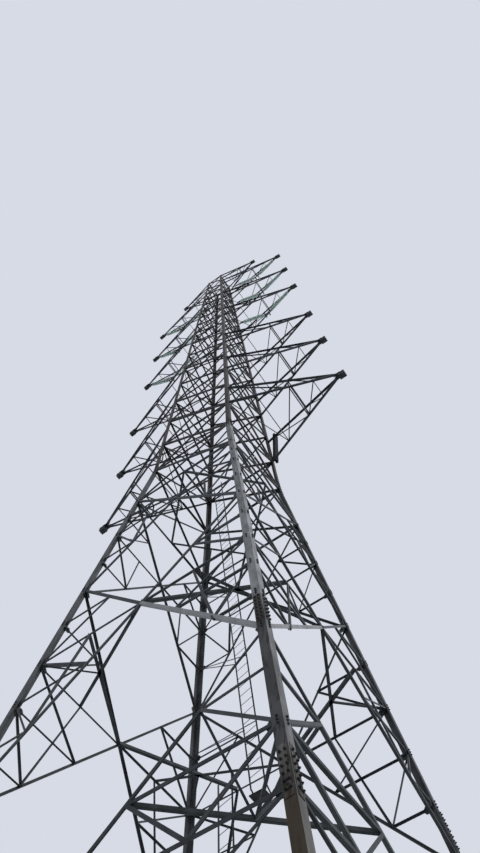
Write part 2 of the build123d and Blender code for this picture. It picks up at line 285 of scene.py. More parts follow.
class Shading:
    """A tree of shader nodes, each fed as it is added."""

    def __init__(self, tree: bpy.types.NodeTree) -> None:
        """Takes over a tree."""
        self.tree = tree

    def feed(self, node: bpy.types.Node, inputs: Inputs) -> None:
        """Fills a node's inputs.

        Args:
            node: The node.
            inputs: A value, or a socket to link from, by each input's name or place.
        """
        for key, value in inputs.items():
            if isinstance(value, Socket):
                self.tree.links.new(value, node.inputs[key])
            else:
                node.inputs[key].default_value = value

    def add(self, kind: str, inputs: Inputs | None = None, **settings: object) -> bpy.types.Node:
        """Adds a node.

        Args:
            kind: What node it is.
            inputs: What its inputs are fed with.
            settings: Its other settings.

        Returns:
            The node.
        """
        node = self.tree.nodes.new(f"ShaderNode{kind}")
        for key, value in settings.items():
            setattr(node, key, value)
        self.feed(node, inputs or {})
        return node

    def reckon(self, operation: str, *values: float | Socket, clamp: bool = False) -> Socket:
        """Adds a Math node on two or three values, and gives its result."""
        node = self.add("Math", dict(enumerate(values)), operation=operation, use_clamp=clamp)
        return node.outputs["Value"]

    def spread(self, value: Socket, source: tuple, target: Pair = (0.0, 1.0)) -> Socket:
        """Maps a value from one range to another.

        Args:
            value: The value.
            source: Ends of its own range, as numbers or sockets.
            target: Ends of the range that it is mapped to.

        Returns:
            The mapped value, kept within the range.
        """
        ends = dict(zip(("From Min", "From Max", "To Min", "To Max"), (*source, *target)))
        return self.add("MapRange", {"Value": value, **ends}).outputs["Result"]

    def mix(self, share: Socket, first: Triple | Socket, second: Triple | Socket) -> Socket:
        """Mixes two colours.

        Args:
            share: How much of the second one there is.
            first: The first colour.
            second: The second colour.

        Returns:
            The mixed colour.
        """
        ends = [end if isinstance(end, Socket) else (*end, 1) for end in (first, second)]
        inputs = dict(zip((MIX_FACTOR, MIX_FIRST, MIX_SECOND), (share, *ends)))
        return self.add("Mix", inputs, data_type="RGBA").outputs[MIX_COLOUR]

    def group(self, name: str, **inputs: float) -> bpy.types.NodeOutputs:
        """Places a shared node group, and gives its outputs."""
        return self.add("Group", inputs, node_tree=bpy.data.node_groups[name]).outputs

    def surface(self, inputs: Inputs) -> None:
        """Fills the inputs of a material's shader."""
        self.feed(self.tree.nodes["Principled BSDF"], inputs)


class WeatheringAndShade(Shading):
    """A node group that the finishes share, with numbers in and out: weathering, and the painted
    shade of the near leg's front flange.
    """

    MOTTLE_RANGE = (0.36, 0.66)  # noise where dull zinc ends and bright zinc starts
    RUST_LIMIT, RUST_SHARE, RUST_EDGE = 0.78, 0.52, 0.12  # noise where rust starts
    SEAM = 0.002  # half the width of the soft edge at the near leg's corner

    def __init__(self, name: str, **inputs: float) -> None:
        """Starts a group.

        Args:
            name: Name of the group.
            inputs: Names and usual values of its inputs.
        """
        super().__init__(bpy.data.node_groups.new(name, "ShaderNodeTree"))
        for label, value in inputs.items():
            self.declare(label, "INPUT").default_value = value
        self.given = self.tree.nodes.new("NodeGroupInput").outputs

    def declare(self, label: str, way: str) -> bpy.types.NodeTreeInterfaceSocket:
        """Declares a number that goes in or out."""
        return self.tree.interface.new_socket(label, in_out=way, socket_type="NodeSocketFloat")

    def give(self, **results: Socket) -> None:
        """Puts results out of the group.

        Args:
            results: Names of the outputs, and what each gives.
        """
        for label in results:
            self.declare(label, "OUTPUT")
        self.feed(self.tree.nodes.new("NodeGroupOutput"), results)

    def place(self) -> Socket:
        """Gives the Object coordinates, which stay with the piece."""
        return self.add("TexCoord").outputs["Object"]

    def noise(self, stretch: Triple, detail: float, scale: float | Socket) -> Socket:
        """Adds noise on Object coordinates.

        Args:
            stretch: Stretch along each axis.
            detail: How fine it goes.
            scale: How close together its patches lie.

        Returns:
            The noise, from 0 to 1.
        """
        spot = self.add("Mapping", {"Vector": self.place(), "Scale": stretch}).outputs["Vector"]
        return self.add("TexNoise", {"Vector": spot, "Scale": scale, "Detail": detail}).outputs["Fac"]

    @classmethod
    def mottle(cls) -> None:
        """Builds the mottling of weathered zinc, as a mask and a fine height."""
        group = cls("zinc_mottle", Scale=9.0)
        broad = group.noise((1, 1, 0.35), 6.0, group.given["Scale"])
        fine = group.noise((40, 40, 40), 2.0, 4.0)
        group.give(Mask=group.spread(broad, cls.MOTTLE_RANGE), Height=fine)

    @classmethod
    def rust_and_shade(cls) -> None:
        """Builds patches and runs of rust, as one mask whose share Amount sets."""
        group = cls("rust_runs", Amount=0.2, Scale=5.0)
        runs = group.noise((7, 7, 0.8), 8.0, group.given["Scale"])
        share = group.reckon("MULTIPLY", group.given["Amount"], cls.RUST_SHARE)
        low = group.reckon("SUBTRACT", cls.RUST_LIMIT, share)
        group.give(Mask=group.spread(runs, (low, group.reckon("ADD", low, cls.RUST_EDGE))))

    @classmethod
    def shaded_flange(cls, kept: float) -> None:
        """Builds a mask of painted shade that is 1 on the near leg's front flange, which is painted
        darker than its lit right flange.

        Args:
            kept: Value of the painted shade mask on the lit flange that lies in the right face.
        """
        group = cls("shaded_flange")
        split = group.add("SeparateXYZ", {"Vector": group.place()}).outputs
        total = group.reckon("ADD", split["X"], split["Y"])
        group.give(Mask=group.spread(total, (-cls.SEAM, cls.SEAM), (1.0, kept)))

    @classmethod
    def bands(cls, name: str, stops: tuple[Pair, ...]) -> None:
        """Builds a mask that changes with height above the ground.

        Args:
            name: Name of the group.
            stops: Heights, from 0 upwards, and the value of the mask at each.
        """
        group = cls(name)
        height = group.add("SeparateXYZ", {"Vector": group.place()}).outputs["Z"]
        top = Outline.waist_height
        ramp = group.add("ValToRGB", {"Fac": group.reckon("DIVIDE", height, top)})
        elements = ramp.color_ramp.elements
        elements.remove(elements[1])
        for index, (stop, value) in enumerate(stops):
            element = elements.new(stop / top) if index else elements[0]
            element.color = (value, value, value, 1)
        group.give(Mask=ramp.outputs["Color"])


@dataclass(frozen=True)
class Finish:
    """What every finish has: a name, and a way to start its material."""

    name: str

    def start(self) -> tuple[bpy.types.Material, Shading]:
        """Starts the finish's material.

        Returns:
            The material, and its node tree.
        """
        made = bpy.data.materials.new(self.name)
        made.use_nodes = True
        return made, Shading(made.node_tree)


@dataclass(frozen=True)
class SteelFinish(Finish):
    """Weathered galvanised steel, from bright zinc to dull zinc with rust; some finishes also carry
    painted shade in their colours.
    """

    pale: Triple
    dull: Triple
    # Colour where the rust mask lies: rust, and on the near leg the painted shade of its front
    # flange.
    rust_and_shade: Triple = (0.060, 0.030, 0.018)
    rust_amount: float = 0.15
    bar_tones: bool = False
    bands: str = ""
    low_rust: Triple | None = None
    specular: float = 0.3
    metallic: float = 0.25
    mottle_share: float = 0.45
    tone_share: float = 0.6
    run_share: float = 0.35
    roughness: Pair = (0.62, 0.92)
    bump: float = 0.25
    bump_height: float = 0.0006

    def zinc(self, shading: Shading, mottle: Socket) -> Socket:
        """Builds the colour of the zinc, with a tone for each bar if asked.

        Args:
            shading: The material's node tree.
            mottle: Mask of the mottling.

        Returns:
            The colour.
        """
        if not self.bar_tones:
            return shading.mix(mottle, self.dull, self.pale)
        tone = shading.add("Attribute", attribute_name="tone").outputs["Fac"]
        tone = shading.reckon("MULTIPLY", tone, self.tone_share)
        share = shading.reckon("MULTIPLY_ADD", mottle, self.mottle_share, tone)
        return shading.mix(share, self.dull, self.pale)

    def material(self) -> bpy.types.Material:
        """Builds the finish as a material.

        Returns:
            The material, with mottling, rust runs, painted shade on the near leg's front flange, and
            a fine bump.
        """
        made, shading = self.start()
        mottle = shading.group("zinc_mottle")
        mask = shading.group("rust_runs", Amount=self.rust_amount)["Mask"]
        # On the near leg, the height bands and the shaded flange mask lay painted shade on its front
        # flange, with the rust runs mixed in.
        if self.bands:
            zone = shading.group(self.bands)["Mask"]
            either = shading.reckon("MULTIPLY_ADD", mask, self.run_share, zone, clamp=True)
            mask = shading.reckon("MULTIPLY", either, shading.group("shaded_flange")["Mask"])
        rust_and_shade = self.rust_and_shade
        if self.low_rust:
            rust_and_shade = shading.mix(shading.group("foot_band")["Mask"], self.rust_and_shade, self.low_rust)
        bump = {"Strength": self.bump, "Distance": self.bump_height, "Height": mottle["Height"]}
        shading.surface({
            "Metallic": self.metallic,
            "Specular IOR Level": self.specular,
            "Base Color": shading.mix(mask, self.zinc(shading, mottle["Mask"]), rust_and_shade),
            "Roughness": shading.spread(mask, (0.0, 1.0), self.roughness),
            "Normal": shading.add("Bump", bump).outputs["Normal"],
        })
        return made


@dataclass(frozen=True)
class GlassFinish(Finish):
    """Toughened glass of a pale sea green, dusty from years outside."""

    name: str = "green_glass"
    clear: Triple = (0.52, 0.68, 0.62)
    dusty: Triple = (0.38, 0.51, 0.46)
    dust_scale: float = 14.0
    transmission: float = 0.55
    refraction: float = 1.5
    alpha: float = 0.75
    roughness: Pair = (0.25, 0.4)

    def material(self) -> bpy.types.Material:
        """Builds the finish as a material.

        Returns:
            The material, duller where dust lies.
        """
        made, shading = self.start()
        dust = shading.group("zinc_mottle", Scale=self.dust_scale)["Mask"]
        shading.surface({
            "Transmission Weight": self.transmission,
            "IOR": self.refraction,
            "Alpha": self.alpha,
            "Base Color": shading.mix(dust, self.clear, self.dusty),
            "Roughness": shading.spread(dust, (0.0, 1.0), self.roughness),
        })
        return made


@dataclass
class Bench:
    """Where new pieces are modelled: one prototype of each, and copies of it."""

    nut_sides: int = 6
    washer: Pair = (0.0105, 0.002)
    washer_rim: float = 0.0015
    nut_height: float = 0.009
    nut_rim: float = 0.0032
    bolt_end: float = 0.005
    gusset_cut: float = 0.3
    cover_cut: float = 0.06
    prototypes: dict[str, Piece] = field(default_factory=dict)

    @staticmethod
    def pick(*pieces: Piece) -> None:
        """Selects pieces alone, and makes the first of them active.

        Args:
            pieces: The pieces.
        """
        bpy.ops.object.select_all(action="DESELECT")
        for piece in pieces:
            piece.select_set(True)
        bpy.context.view_layer.objects.active = pieces[0]

    @staticmethod
    def primitive(name: str, kind: Callable, stretch: Triple = (1, 1, 1), **options: object) -> Piece:
        """Adds a primitive alone, with its place and size in its mesh.

        Args:
            name: Its name.
            kind: The operator that adds it.
            stretch: How far it is stretched along each axis.
            options: What the operator is given.

        Returns:
            The piece.
        """
        bpy.ops.object.select_all(action="DESELECT")
        kind(**options)
        made = bpy.context.active_object
        made.name = name
        made.scale = stretch
        bpy.ops.object.transform_apply(location=True, rotation=True, scale=True)
        return made

    def block(self, name: str, size: Triple, centre: Vector | Triple) -> Piece:
        """Adds a block of a size, about its centre."""
        kind = bpy.ops.mesh.primitive_cube_add
        return self.primitive(name, kind, size, size=1, location=centre)

    def round(self, name: str, sides: int, radius: float, depth: float, middle: float) -> Piece:
        """Adds a cylinder that stands on the Z axis."""
        options = {"vertices": sides, "radius": radius, "depth": depth, "location": (0, 0, middle)}
        return self.primitive(name, bpy.ops.mesh.primitive_cylinder_add, **options)

    def edit(self, piece: Piece, wanted: Callable, *steps: Step, edges: bool = False) -> None:
        """Runs edit mode operators on the sides that a test picks.

        Args:
            piece: The piece to shape.
            wanted: Test on a side, or on an edge.
            steps: The operators, in order.
            edges: Whether edges are picked instead of sides.
        """
        self.pick(piece)
        mesh = piece.data
        for parts in (mesh.vertices, mesh.edges, mesh.polygons):
            parts.foreach_set("select", [False] * len(parts))
        for part in mesh.edges if edges else mesh.polygons:
            part.select = wanted(part)
        bpy.ops.object.mode_set(mode="EDIT")
        bpy.ops.mesh.select_mode(type="EDGE" if edges else "FACE")
        for step in steps:
            step()
        bpy.ops.object.mode_set(mode="OBJECT")

    def store(self, piece: Piece) -> None:
        """Keeps a finished prototype out of the scene, under its name.

        Args:
            piece: The prototype.
        """
        for collection in piece.users_collection:
            collection.objects.unlink(piece)
        self.prototypes[piece.name] = piece

    def model_angle(self, gauge: Gauge) -> None:
        """Models one metre of angle section along Z, its outer side at Y = 0.

        Args:
            gauge: Size of the section.
        """
        width, thick = gauge.value
        bar = self.block(gauge.name, (width, thick, 1), (0, thick / 2, 0.5))
        cut = -width / 2 + thick
        split = partial(bpy.ops.mesh.bisect, plane_co=(cut, 0, 0), plane_no=(1, 0, 0))
        self.edit(bar, lambda side: True, split)
        standing = extrude(0, width - thick, 0)
        self.edit(bar, lambda side: side.normal.y > FACING and side.center.x < cut, standing)
        self.store(bar)

    def model_bolt(self) -> None:
        """Models a nut on its washer and the bolt's end in it, its seat at Z = 0."""
        radius, height = self.washer
        bolt = self.round("bolt", self.nut_sides, radius, height, height / 2)
        nut = inset(self.washer_rim), extrude(0, 0, self.nut_height)
        end = inset(self.nut_rim), extrude(0, 0, self.bolt_end)
        self.edit(bolt, on_top, *nut, *end)
        self.store(bolt)

    def model_plate(self, key: str, cut: float, all_corners: bool) -> None:
        """Models a plate of unit width and height with corners cut off.

        Args:
            key: Name of the prototype.
            cut: How much of each corner is cut off.
            all_corners: Whether all four are cut, or the two on its +X side.
        """
        plate = self.block(key, (1, PLATE, 1), (0, PLATE / 2, 0))

        def at_corner(edge: bpy.types.MeshEdge) -> bool:
            """Tells whether an edge runs through the plate at a corner to cut."""
            first, second = (plate.data.vertices[index].co for index in edge.vertices)
            return abs(first.y - second.y) > PLATE / 2 and (all_corners or first.x > 0)

        self.edit(plate, at_corner, partial(bpy.ops.mesh.bevel, offset=cut, segments=1), edges=True)
        self.store(plate)

    def model_all(self) -> None:
        """Models what every sub-assembly is put together from."""
        for gauge in Gauge:
            self.model_angle(gauge)
        self.model_bolt()
        self.model_plate("gusset", self.gusset_cut, False)
        self.model_plate("cover", self.cover_cut, True)

    def copy(self, key: str, place: Matrix) -> Piece:
        """Copies a prototype, with its own mesh, to a place.

        Args:
            key: Name of the prototype.
            place: Where it goes, with any stretch.

        Returns:
            The copy, at the origin, with a tone of its own.
        """
        made = bpy.data.objects.new(key, self.prototypes[key].data.copy())
        made.data.transform(place)
        bpy.context.scene.collection.objects.link(made)
        return self.tint(made, DICE.random() ** 2)

    @staticmethod
    def tint(piece: Piece, tone: float) -> Piece:
        """Sets a piece's tone.

        Args:
            piece: The piece.
            tone: From 0 for dull to 1 for bright zinc.

        Returns:
            The piece.
        """
        attributes = piece.data.attributes
        held = attributes.get("tone") or attributes.new("tone", "FLOAT", "POINT")
        held.data.foreach_set("value", [tone] * len(piece.data.vertices))
        return piece

    def bar(self, gauge: Gauge, start: Vector, end: Vector, inward: Vector) -> Piece:
        """Places a bar of angle section between two points.

        Args:
            gauge: Size of the section.
            start: Where the bar starts.
            end: Where it ends.
            inward: The way that its standing flange points.

        Returns:
            The bar.
        """
        run = end - start
        along = run.normalized()
        standing = (inward - along * inward.dot(along)).normalized()
        place = columns(standing.cross(along), standing, along * run.length, start)
        return self.copy(gauge.name, place)

    def plate(self, key: str, middle: Vector, out: Vector, up: Vector, size: Pair) -> Piece:
        """Places a plate.

        Args:
            key: Name of its prototype.
            middle: Middle of the side that lies against the bars.
            out: The way that its thickness points.
            up: The way that its height runs.
            size: Its width, with a gusset's cut corners at the far side, and its height.

        Returns:
            The plate.
        """
        width, height = size
        normal = out.normalized()
        rise = (up - normal * up.dot(normal)).normalized()
        return self.copy(key, columns(normal.cross(rise) * width, normal, rise * height, middle))

    def bolt(self, seat: Vector, out: Vector) -> Piece:
        """Places a bolt head on its seat, pointing out."""
        return self.copy("bolt", aimed(seat, out))

    def merge(self, name: str, parts: list[Piece]) -> Piece:
        """Joins parts into one piece at the origin.

        Args:
            name: Name of the piece.
            parts: What it is made of. The list is emptied.

        Returns:
            The piece.
        """
        self.pick(*parts)
        parts.clear()
        bpy.ops.object.join()
        piece = bpy.context.active_object
        piece.name = piece.data.name = name
        return piece


@dataclass
class Dresser:
    """Gives pieces their finish and body, and reports them."""

    finishes: dict[str, bpy.types.Material] = field(default_factory=dict)

    def coat(self, piece: Piece, finish: str) -> None:
        """Gives a piece one finish alone."""
        piece.data.materials.clear()
        piece.data.materials.append(self.finishes[finish])

    def dress(self, piece: Piece, finish: str, slot: str, *nodes: str) -> None:
        """Finishes a piece and hands it to the frame.

        Args:
            piece: The finished mesh.
            finish: Name of the finish.
            slot: Name of a material slot, which is not used.
            nodes: The CAD nodes that the piece stands for.
        """
        self.coat(piece, finish)
        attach(piece, ROOT)
        if nodes:
            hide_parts(*nodes)
        LOG.info("%s: %d faces, %s", piece.name, len(piece.data.polygons), finish)

    def dress_node(self, node: str, finish: str) -> None:
        """Gives a CAD node that stays in view a finish."""
        self.coat(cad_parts[node], finish)
        LOG.info("%s keeps its solid, %s", node, finish)


@dataclass
class FaceBracing:
    """The flat lattice of one face of the body, in angle section."""

    outline: Outline
    bench: Bench
    face: Face
    base: float = 1.56
    lower: float = 5.31
    middle: float = 8.68
    upper: float = 11.3
    arm_heights: tuple[float, ...] = (13.8, 16.41, 19.11, 23.1, 26.38, 29.7)
    panel: float = 1.25
    lower_steps: int = 3
    upper_steps: int = 2
    low_bolts: int = 3
    high_bolts: int = 2
    plate_bolts: int = 2
    bolt_pitch: float = 0.034
    gusset_ratio: float = 1.25
    gusset_size: float = 0.07
    small_gusset: float = 0.035
    arm_gusset: float = 0.13
    pale_step: float = 0.07
    quarter_step: float = 0.03
    joint_gap: float = 0.001
    top_margin: float = 0.025
    parts: list[Piece] = field(default_factory=list)
    pale: list[Piece] = field(default_factory=list)

    def at_leg(self, side: int, height: float) -> Pair:
        """Gives the joint of a bar with a leg."""
        return side * self.outline.gauge_line(height), height

    def add(self, gauge: Gauge, start: Pair, end: Pair, layer: int = 0, pale: bool = False) -> None:
        """Adds one bar that lies in the face.

        Args:
            gauge: Size of the section.
            start: Joint that it starts at.
            end: Joint that it ends at.
            layer: How many bars lie between it and the leg.
            pale: Whether it is one of the newer, paler bars.
        """
        first, last = (
            self.outline.on_face(self.face, joint, self.outline.leg_inset(joint[1], layer))
            for joint in (start, end)
        )
        made = self.bench.bar(gauge, first, last, -self.face.normal)
        (self.pale if pale else self.parts).append(made)

    def crossing(self, low: float, high: float) -> float:
        """Gives the height where the diagonals of a panel cross.

        Args:
            low: Height of the panel's foot.
            high: Height of its top.

        Returns:
            The height.
        """
        wide, narrow = self.outline.gauge_line(low), self.outline.gauge_line(high)
        return low + (high - low) * wide / (wide + narrow)

    def on_diagonal(self, low: float, high: float, height: float) -> float:
        """Gives how far from the middle a panel's diagonals are at a height.

        Args:
            low: Height of the panel's foot.
            high: Height of its top.
            height: The height asked for.

        Returns:
            The distance.
        """
        wide, narrow = self.outline.gauge_line(low), self.outline.gauge_line(high)
        return abs(wide - (wide + narrow) * (height - low) / (high - low))

    def inside(self, side: int, low: float, high: float, height: float) -> Pair:
        """Gives the joint of a bar with a panel's diagonal at a height."""
        return side * self.on_diagonal(low, high, height), height

    def gusset(self, side: int, height: float, size: float) -> None:
        """Adds a gusset with its bolts where bars meet a leg.

        Args:
            side: Which of the face's two legs.
            height: Height of its middle.
            size: Its width.
        """
        outline, bench, face = self.outline, self.bench, self.face
        reach = outline.half_width(height) - outline.leg_section(height)[0] - size / 4
        depth = outline.leg_inset(height) + 2 * Gauge.HEAVY.thickness
        middle = outline.on_face(face, (side * reach, height), depth)
        rise = outline.on_face(face, (0, height + 1)) - outline.on_face(face, (0, height))
        up = rise if face.normal.cross(rise).dot(face.sideways * side) > 0 else -rise
        size_pair = (size, size * self.gusset_ratio)
        self.parts.append(bench.plate("gusset", middle, -face.normal, up, size_pair))
        count = self.low_bolts if height < self.upper else self.high_bolts
        for step in centred(count, self.bolt_pitch):
            seat = outline.on_face(face, self.at_leg(side, height + step))
            self.parts.append(bench.bolt(seat, face.normal))
        for step in centred(self.plate_bolts, self.bolt_pitch):
            seat = outline.on_face(face, (side * reach, height + step), depth + PLATE)
            self.parts.append(bench.bolt(seat, -face.normal))

    def cross_panel(self, low: float, high: float, gauge: Gauge, pale_from: int = 0) -> None:
        """Adds the two crossing diagonals of a panel, one behind the other.

        Args:
            low: Height of the panel's foot.
            high: Height of its top.
            gauge: Size of the section.
            pale_from: Side whose leg carries the foot of a newer, paler diagonal.
        """
        for layer, side in enumerate((1, -1)):
            foot, head = self.at_leg(side, low), self.at_leg(-side, high)
            if side == pale_from:
                middle = (0.0, self.crossing(low, high))
                self.add(Gauge.PALE, self.at_leg(side, low + self.pale_step), middle, layer, True)
                foot = middle
            self.add(gauge, foot, head, layer)

    def level(self, height: float, inner: float, gauge: Gauge) -> None:
        """Adds a level bar from each leg in to a distance from the middle."""
        for side in (1, -1):
            self.add(gauge, self.at_leg(side, height), (side * inner, height), 1)

    def stiffened_panel(self, low: float, high: float, steps: int, pale_from: int = 0) -> None:
        """Adds a wide crossed panel with the bars that stiffen its legs.

        Args:
            low: Height of the panel's foot.
            high: Height of its top.
            steps: Into how many the leg is divided below the crossing.
            pale_from: Side whose leg carries the foot of a newer, paler diagonal.
        """
        self.cross_panel(low, high, Gauge.HEAVY, pale_from)
        cross = self.crossing(low, high)
        self.level(cross, 0, Gauge.SECOND)
        below = [low + (cross - low) * (step + 1) / steps for step in range(steps - 1)]
        above = [(cross + high) / 2]
        joints = below + [cross] + above
        for height in below + above:
            self.level(height, self.on_diagonal(low, high, height), Gauge.SECOND)
        for first, second in zip(joints, joints[1:]):
            for side in (1, -1):
                ends = (self.inside(side, low, high, first), self.at_leg(side, second))
                if second > cross:
                    ends = (self.at_leg(side, first), self.inside(side, low, high, second))
                self.add(Gauge.SECOND, *ends, 1)
        for side in (1, -1):
            quarter = (side * self.outline.gauge_line(cross) / 2, cross)
            inner = side * self.on_diagonal(low, high, below[0])
            for layer in (0, 1):
                foot = (inner, below[0] + self.quarter_step * layer)
                self.add(Gauge.WEB, quarter, foot, layer)
            for height in joints:
                self.gusset(side, height, self.gusset_size)

    def build_middle(self, pale_from: int) -> tuple[Piece, Piece | None]:
        """Builds the face from the first panel point to the waist.

        Args:
            pale_from: Side whose leg carries the foot of a newer, paler diagonal.

        Returns:
            The bars, and the paler bar where there is one.
        """
        self.stiffened_panel(self.lower, self.middle, self.lower_steps, pale_from)
        self.stiffened_panel(self.middle, self.upper, self.upper_steps)
        self.cross_panel(self.upper, self.outline.waist_height - self.joint_gap, Gauge.HEAVY)
        self.level(self.upper, 0, Gauge.HEAVY)
        for side in (1, -1):
            self.gusset(side, self.lower + self.pale_step, self.small_gusset)
            for height in (self.middle, self.upper):
                self.gusset(side, height, self.gusset_size)
        bars = self.bench.merge(f"{self.face.label}_middle_angles", self.parts)
        if not self.pale:
            return bars, None
        return bars, self.bench.merge(f"{self.face.label}_pale_diagonal", self.pale)

    def build_upper(self) -> Piece:
        """Builds the face from the waist to the top.

        Returns:
            The bars, gussets and bolts.
        """
        foot = self.outline.waist_height + self.joint_gap
        stops = (foot, *self.arm_heights, self.outline.top_height - self.top_margin)
        for low, high in zip(stops, stops[1:]):
            count = round((high - low) / self.panel)
            step = (high - low) / count
            for index in range(count):
                self.cross_panel(low + step * index, low + step * (index + 1), Gauge.BODY)
        for height in stops:
            self.level(height, 0, Gauge.BODY)
        for height in self.arm_heights:
            for side in (1, -1):
                self.gusset(side, height, self.arm_gusset)
        return self.bench.merge(f"{self.face.label}_upper_angles", self.parts)


@dataclass
class BaseBracing(FaceBracing):
    """The lowest panel of a face, which the feet spread under."""

    stop_share: float = 0.61
    steps: int = 3
    brace_rise: float = 0.08
    foot_gusset: float = 0.1

    def build_half(self, side: int) -> list[Piece]:
        """Builds one leg's half of the panel.

        Args:
            side: Which of the face's two legs.

        Returns:
            The half's bars, gussets and bolts.
        """
        low, high = self.base, self.lower
        cross = self.crossing(low, high)
        upper = [cross + (high - cross) * step / self.steps for step in range(1, self.steps)]
        lower = [low + (cross - low) * step / self.steps for step in range(1, self.steps)]
        leg, inner = partial(self.at_leg, side), partial(self.inside, side, low, high)
        middle = (0.0, cross)
        stop = (side * self.stop_share * self.outline.gauge_line(cross), cross)
        for gauge, layer, start, end in (
            (Gauge.HEAVY, 0, middle, inner(upper[1])),
            (Gauge.HEAVY, 0, middle, leg(low)),
            (Gauge.HEAVY, 0, middle, leg(cross)),
            (Gauge.HEAVY, 0, inner(upper[0]), leg(upper[0])),
            (Gauge.HEAVY, 0, inner(upper[0]), stop),
            (Gauge.HEAVY, 0, stop, leg(upper[0])),
            (Gauge.HEAVY, 0, inner(upper[1]), leg(upper[0])),
            (Gauge.WEB, 0, inner(upper[1]), leg(high - self.joint_gap)),
            (Gauge.SECOND, 1, inner(upper[1]), leg(upper[1] + self.brace_rise)),
            (Gauge.SECOND, 1, inner(lower[1]), leg(lower[1])),
            (Gauge.SECOND, 1, inner(lower[0]), leg(lower[0])),
            (Gauge.SECOND, 1, inner(lower[1]), leg(cross)),
            (Gauge.SECOND, 1, inner(lower[0]), leg(lower[1])),
        ):
            self.add(gauge, start, end, layer)
        for height in (low + self.foot_gusset, cross, upper[0]):
            self.gusset(side, height, self.gusset_size)
        return self.parts


class PlanPattern(Enum):
    """How the bars of a plan brace run."""

    HIP = "one bar across each corner, held from its middle"
    CROSSED = "two bars that cross in each corner"
    DIAMOND = "one bar from the middle of each face to the next"


@dataclass
class PlanBrace:
    """The bars inside the body at one level, which hold its corners square."""

    outline: Outline
    bench: Bench
    label: str
    height: float
    pattern: PlanPattern
    panel: FaceBracing
    face_depth: float = 0.012
    hip_step: float = 0.55
    diamond_drop: float = 0.6

    def reach(self, rise: float = 0.0) -> float:
        """Gives half the width of the space inside the faces.

        Args:
            rise: How far above this brace's level.

        Returns:
            The distance from the axis to a face's inner side.
        """
        height = self.height + rise
        depth = self.outline.leg_section(height)[1] + self.face_depth + 3 * SEAT
        return self.outline.half_width(height + self.face_depth) - depth

    def corner_bars(self) -> list[tuple[Gauge, Triple, Triple]]:
        """Lists one corner's bars.

        Returns:
            Each bar's section and its ends, as places from the axis at this level.
        """
        reach = self.reach()
        corner = (reach, reach, 0)
        if self.pattern is PlanPattern.CROSSED:
            node = reach * 2 / 3
            return [
                (Gauge.PALE, (reach, 0, 0), (reach / 2, reach, 0)),
                (Gauge.PALE, (0, reach, 0), (reach, reach / 2, 0)),
                (Gauge.SECOND, (node, node, 0), corner),
            ]
        if self.pattern is PlanPattern.DIAMOND:
            foot = self.reach(-self.diamond_drop)
            return [
                (Gauge.BODY, (reach, 0, 0), (0, reach, 0)),
                (Gauge.SECOND, (reach / 2, reach / 2, 0), (foot, foot, -self.diamond_drop)),
            ]
        near, joint = (
            self.panel.on_diagonal(self.panel.base, self.panel.lower, self.height + rise)
            for rise in (0, self.hip_step)
        )
        middle = ((reach + near) / 2, (reach + near) / 2, 0)
        low, high = self.reach(-self.hip_step), self.reach(self.hip_step)
        return [
            (Gauge.HEAVY, (reach, near, 0), (near, reach, 0)),
            (Gauge.SECOND, middle, corner),
            (Gauge.WEB, middle, (low, low, -self.hip_step)),
            (Gauge.WEB, middle, (high, joint, self.hip_step)),
            (Gauge.WEB, middle, (joint, high, self.hip_step)),
        ]

    def build(self) -> Piece:
        """Builds the bars of all four corners.

        Returns:
            The brace.
        """
        middle = Matrix.Translation(self.outline.axis + UP * self.height)
        parts = []
        for turn in range(4):
            place = middle @ Matrix.Rotation(turn * math.pi / 2, 4, "Z")
            for gauge, start, end in self.corner_bars():
                parts.append(self.bench.bar(gauge, place @ Vector(start), place @ Vector(end), UP))
        return self.bench.merge(f"{self.label}_angles", parts)


@dataclass
class LegSplice:
    """The cover plates and bolts where two lengths of a leg meet."""

    outline: Outline
    bench: Bench
    corner: Corner
    low: float
    high: float
    margin: float = 0.010
    row_pitch: float = 0.06
    column_pitch: float = 0.036

    def build(self, name: str) -> tuple[Piece, Piece]:
        """Builds the splice.

        Args:
            name: Start of the names of its pieces.

        Returns:
            The plates and the bolts.
        """
        outline, bench = self.outline, self.bench
        across, along = self.corner.value
        middle = (self.low + self.high) / 2
        flange = outline.leg_section(middle)[0]
        run = outline.heel(self.corner, self.high) - outline.heel(self.corner, self.low)
        rise = run.normalized()
        rows = centred(int(run.length / self.row_pitch), self.row_pitch)
        plates, bolts = [], []
        for out, inward in (((across, 0, 0), (0, -along, 0)), ((0, along, 0), (-across, 0, 0))):
            normal = rise.cross(Vector(inward)).normalized()
            normal = normal if normal.dot(Vector(out)) > 0 else -normal
            side = normal.cross(rise)
            centre = outline.heel(self.corner, middle) + Vector(inward) * flange / 2
            size = (flange - 2 * self.margin, run.length)
            plates.append(bench.plate("cover", centre, normal, rise, size))
            for row in rows:
                for column in centred(2, self.column_pitch):
                    seat = centre + normal * PLATE + side * column + rise * row
                    bolts.append(bench.bolt(seat, normal))
        return bench.merge(f"{name}_covers", plates), bench.merge(f"{name}_bolts", bolts)


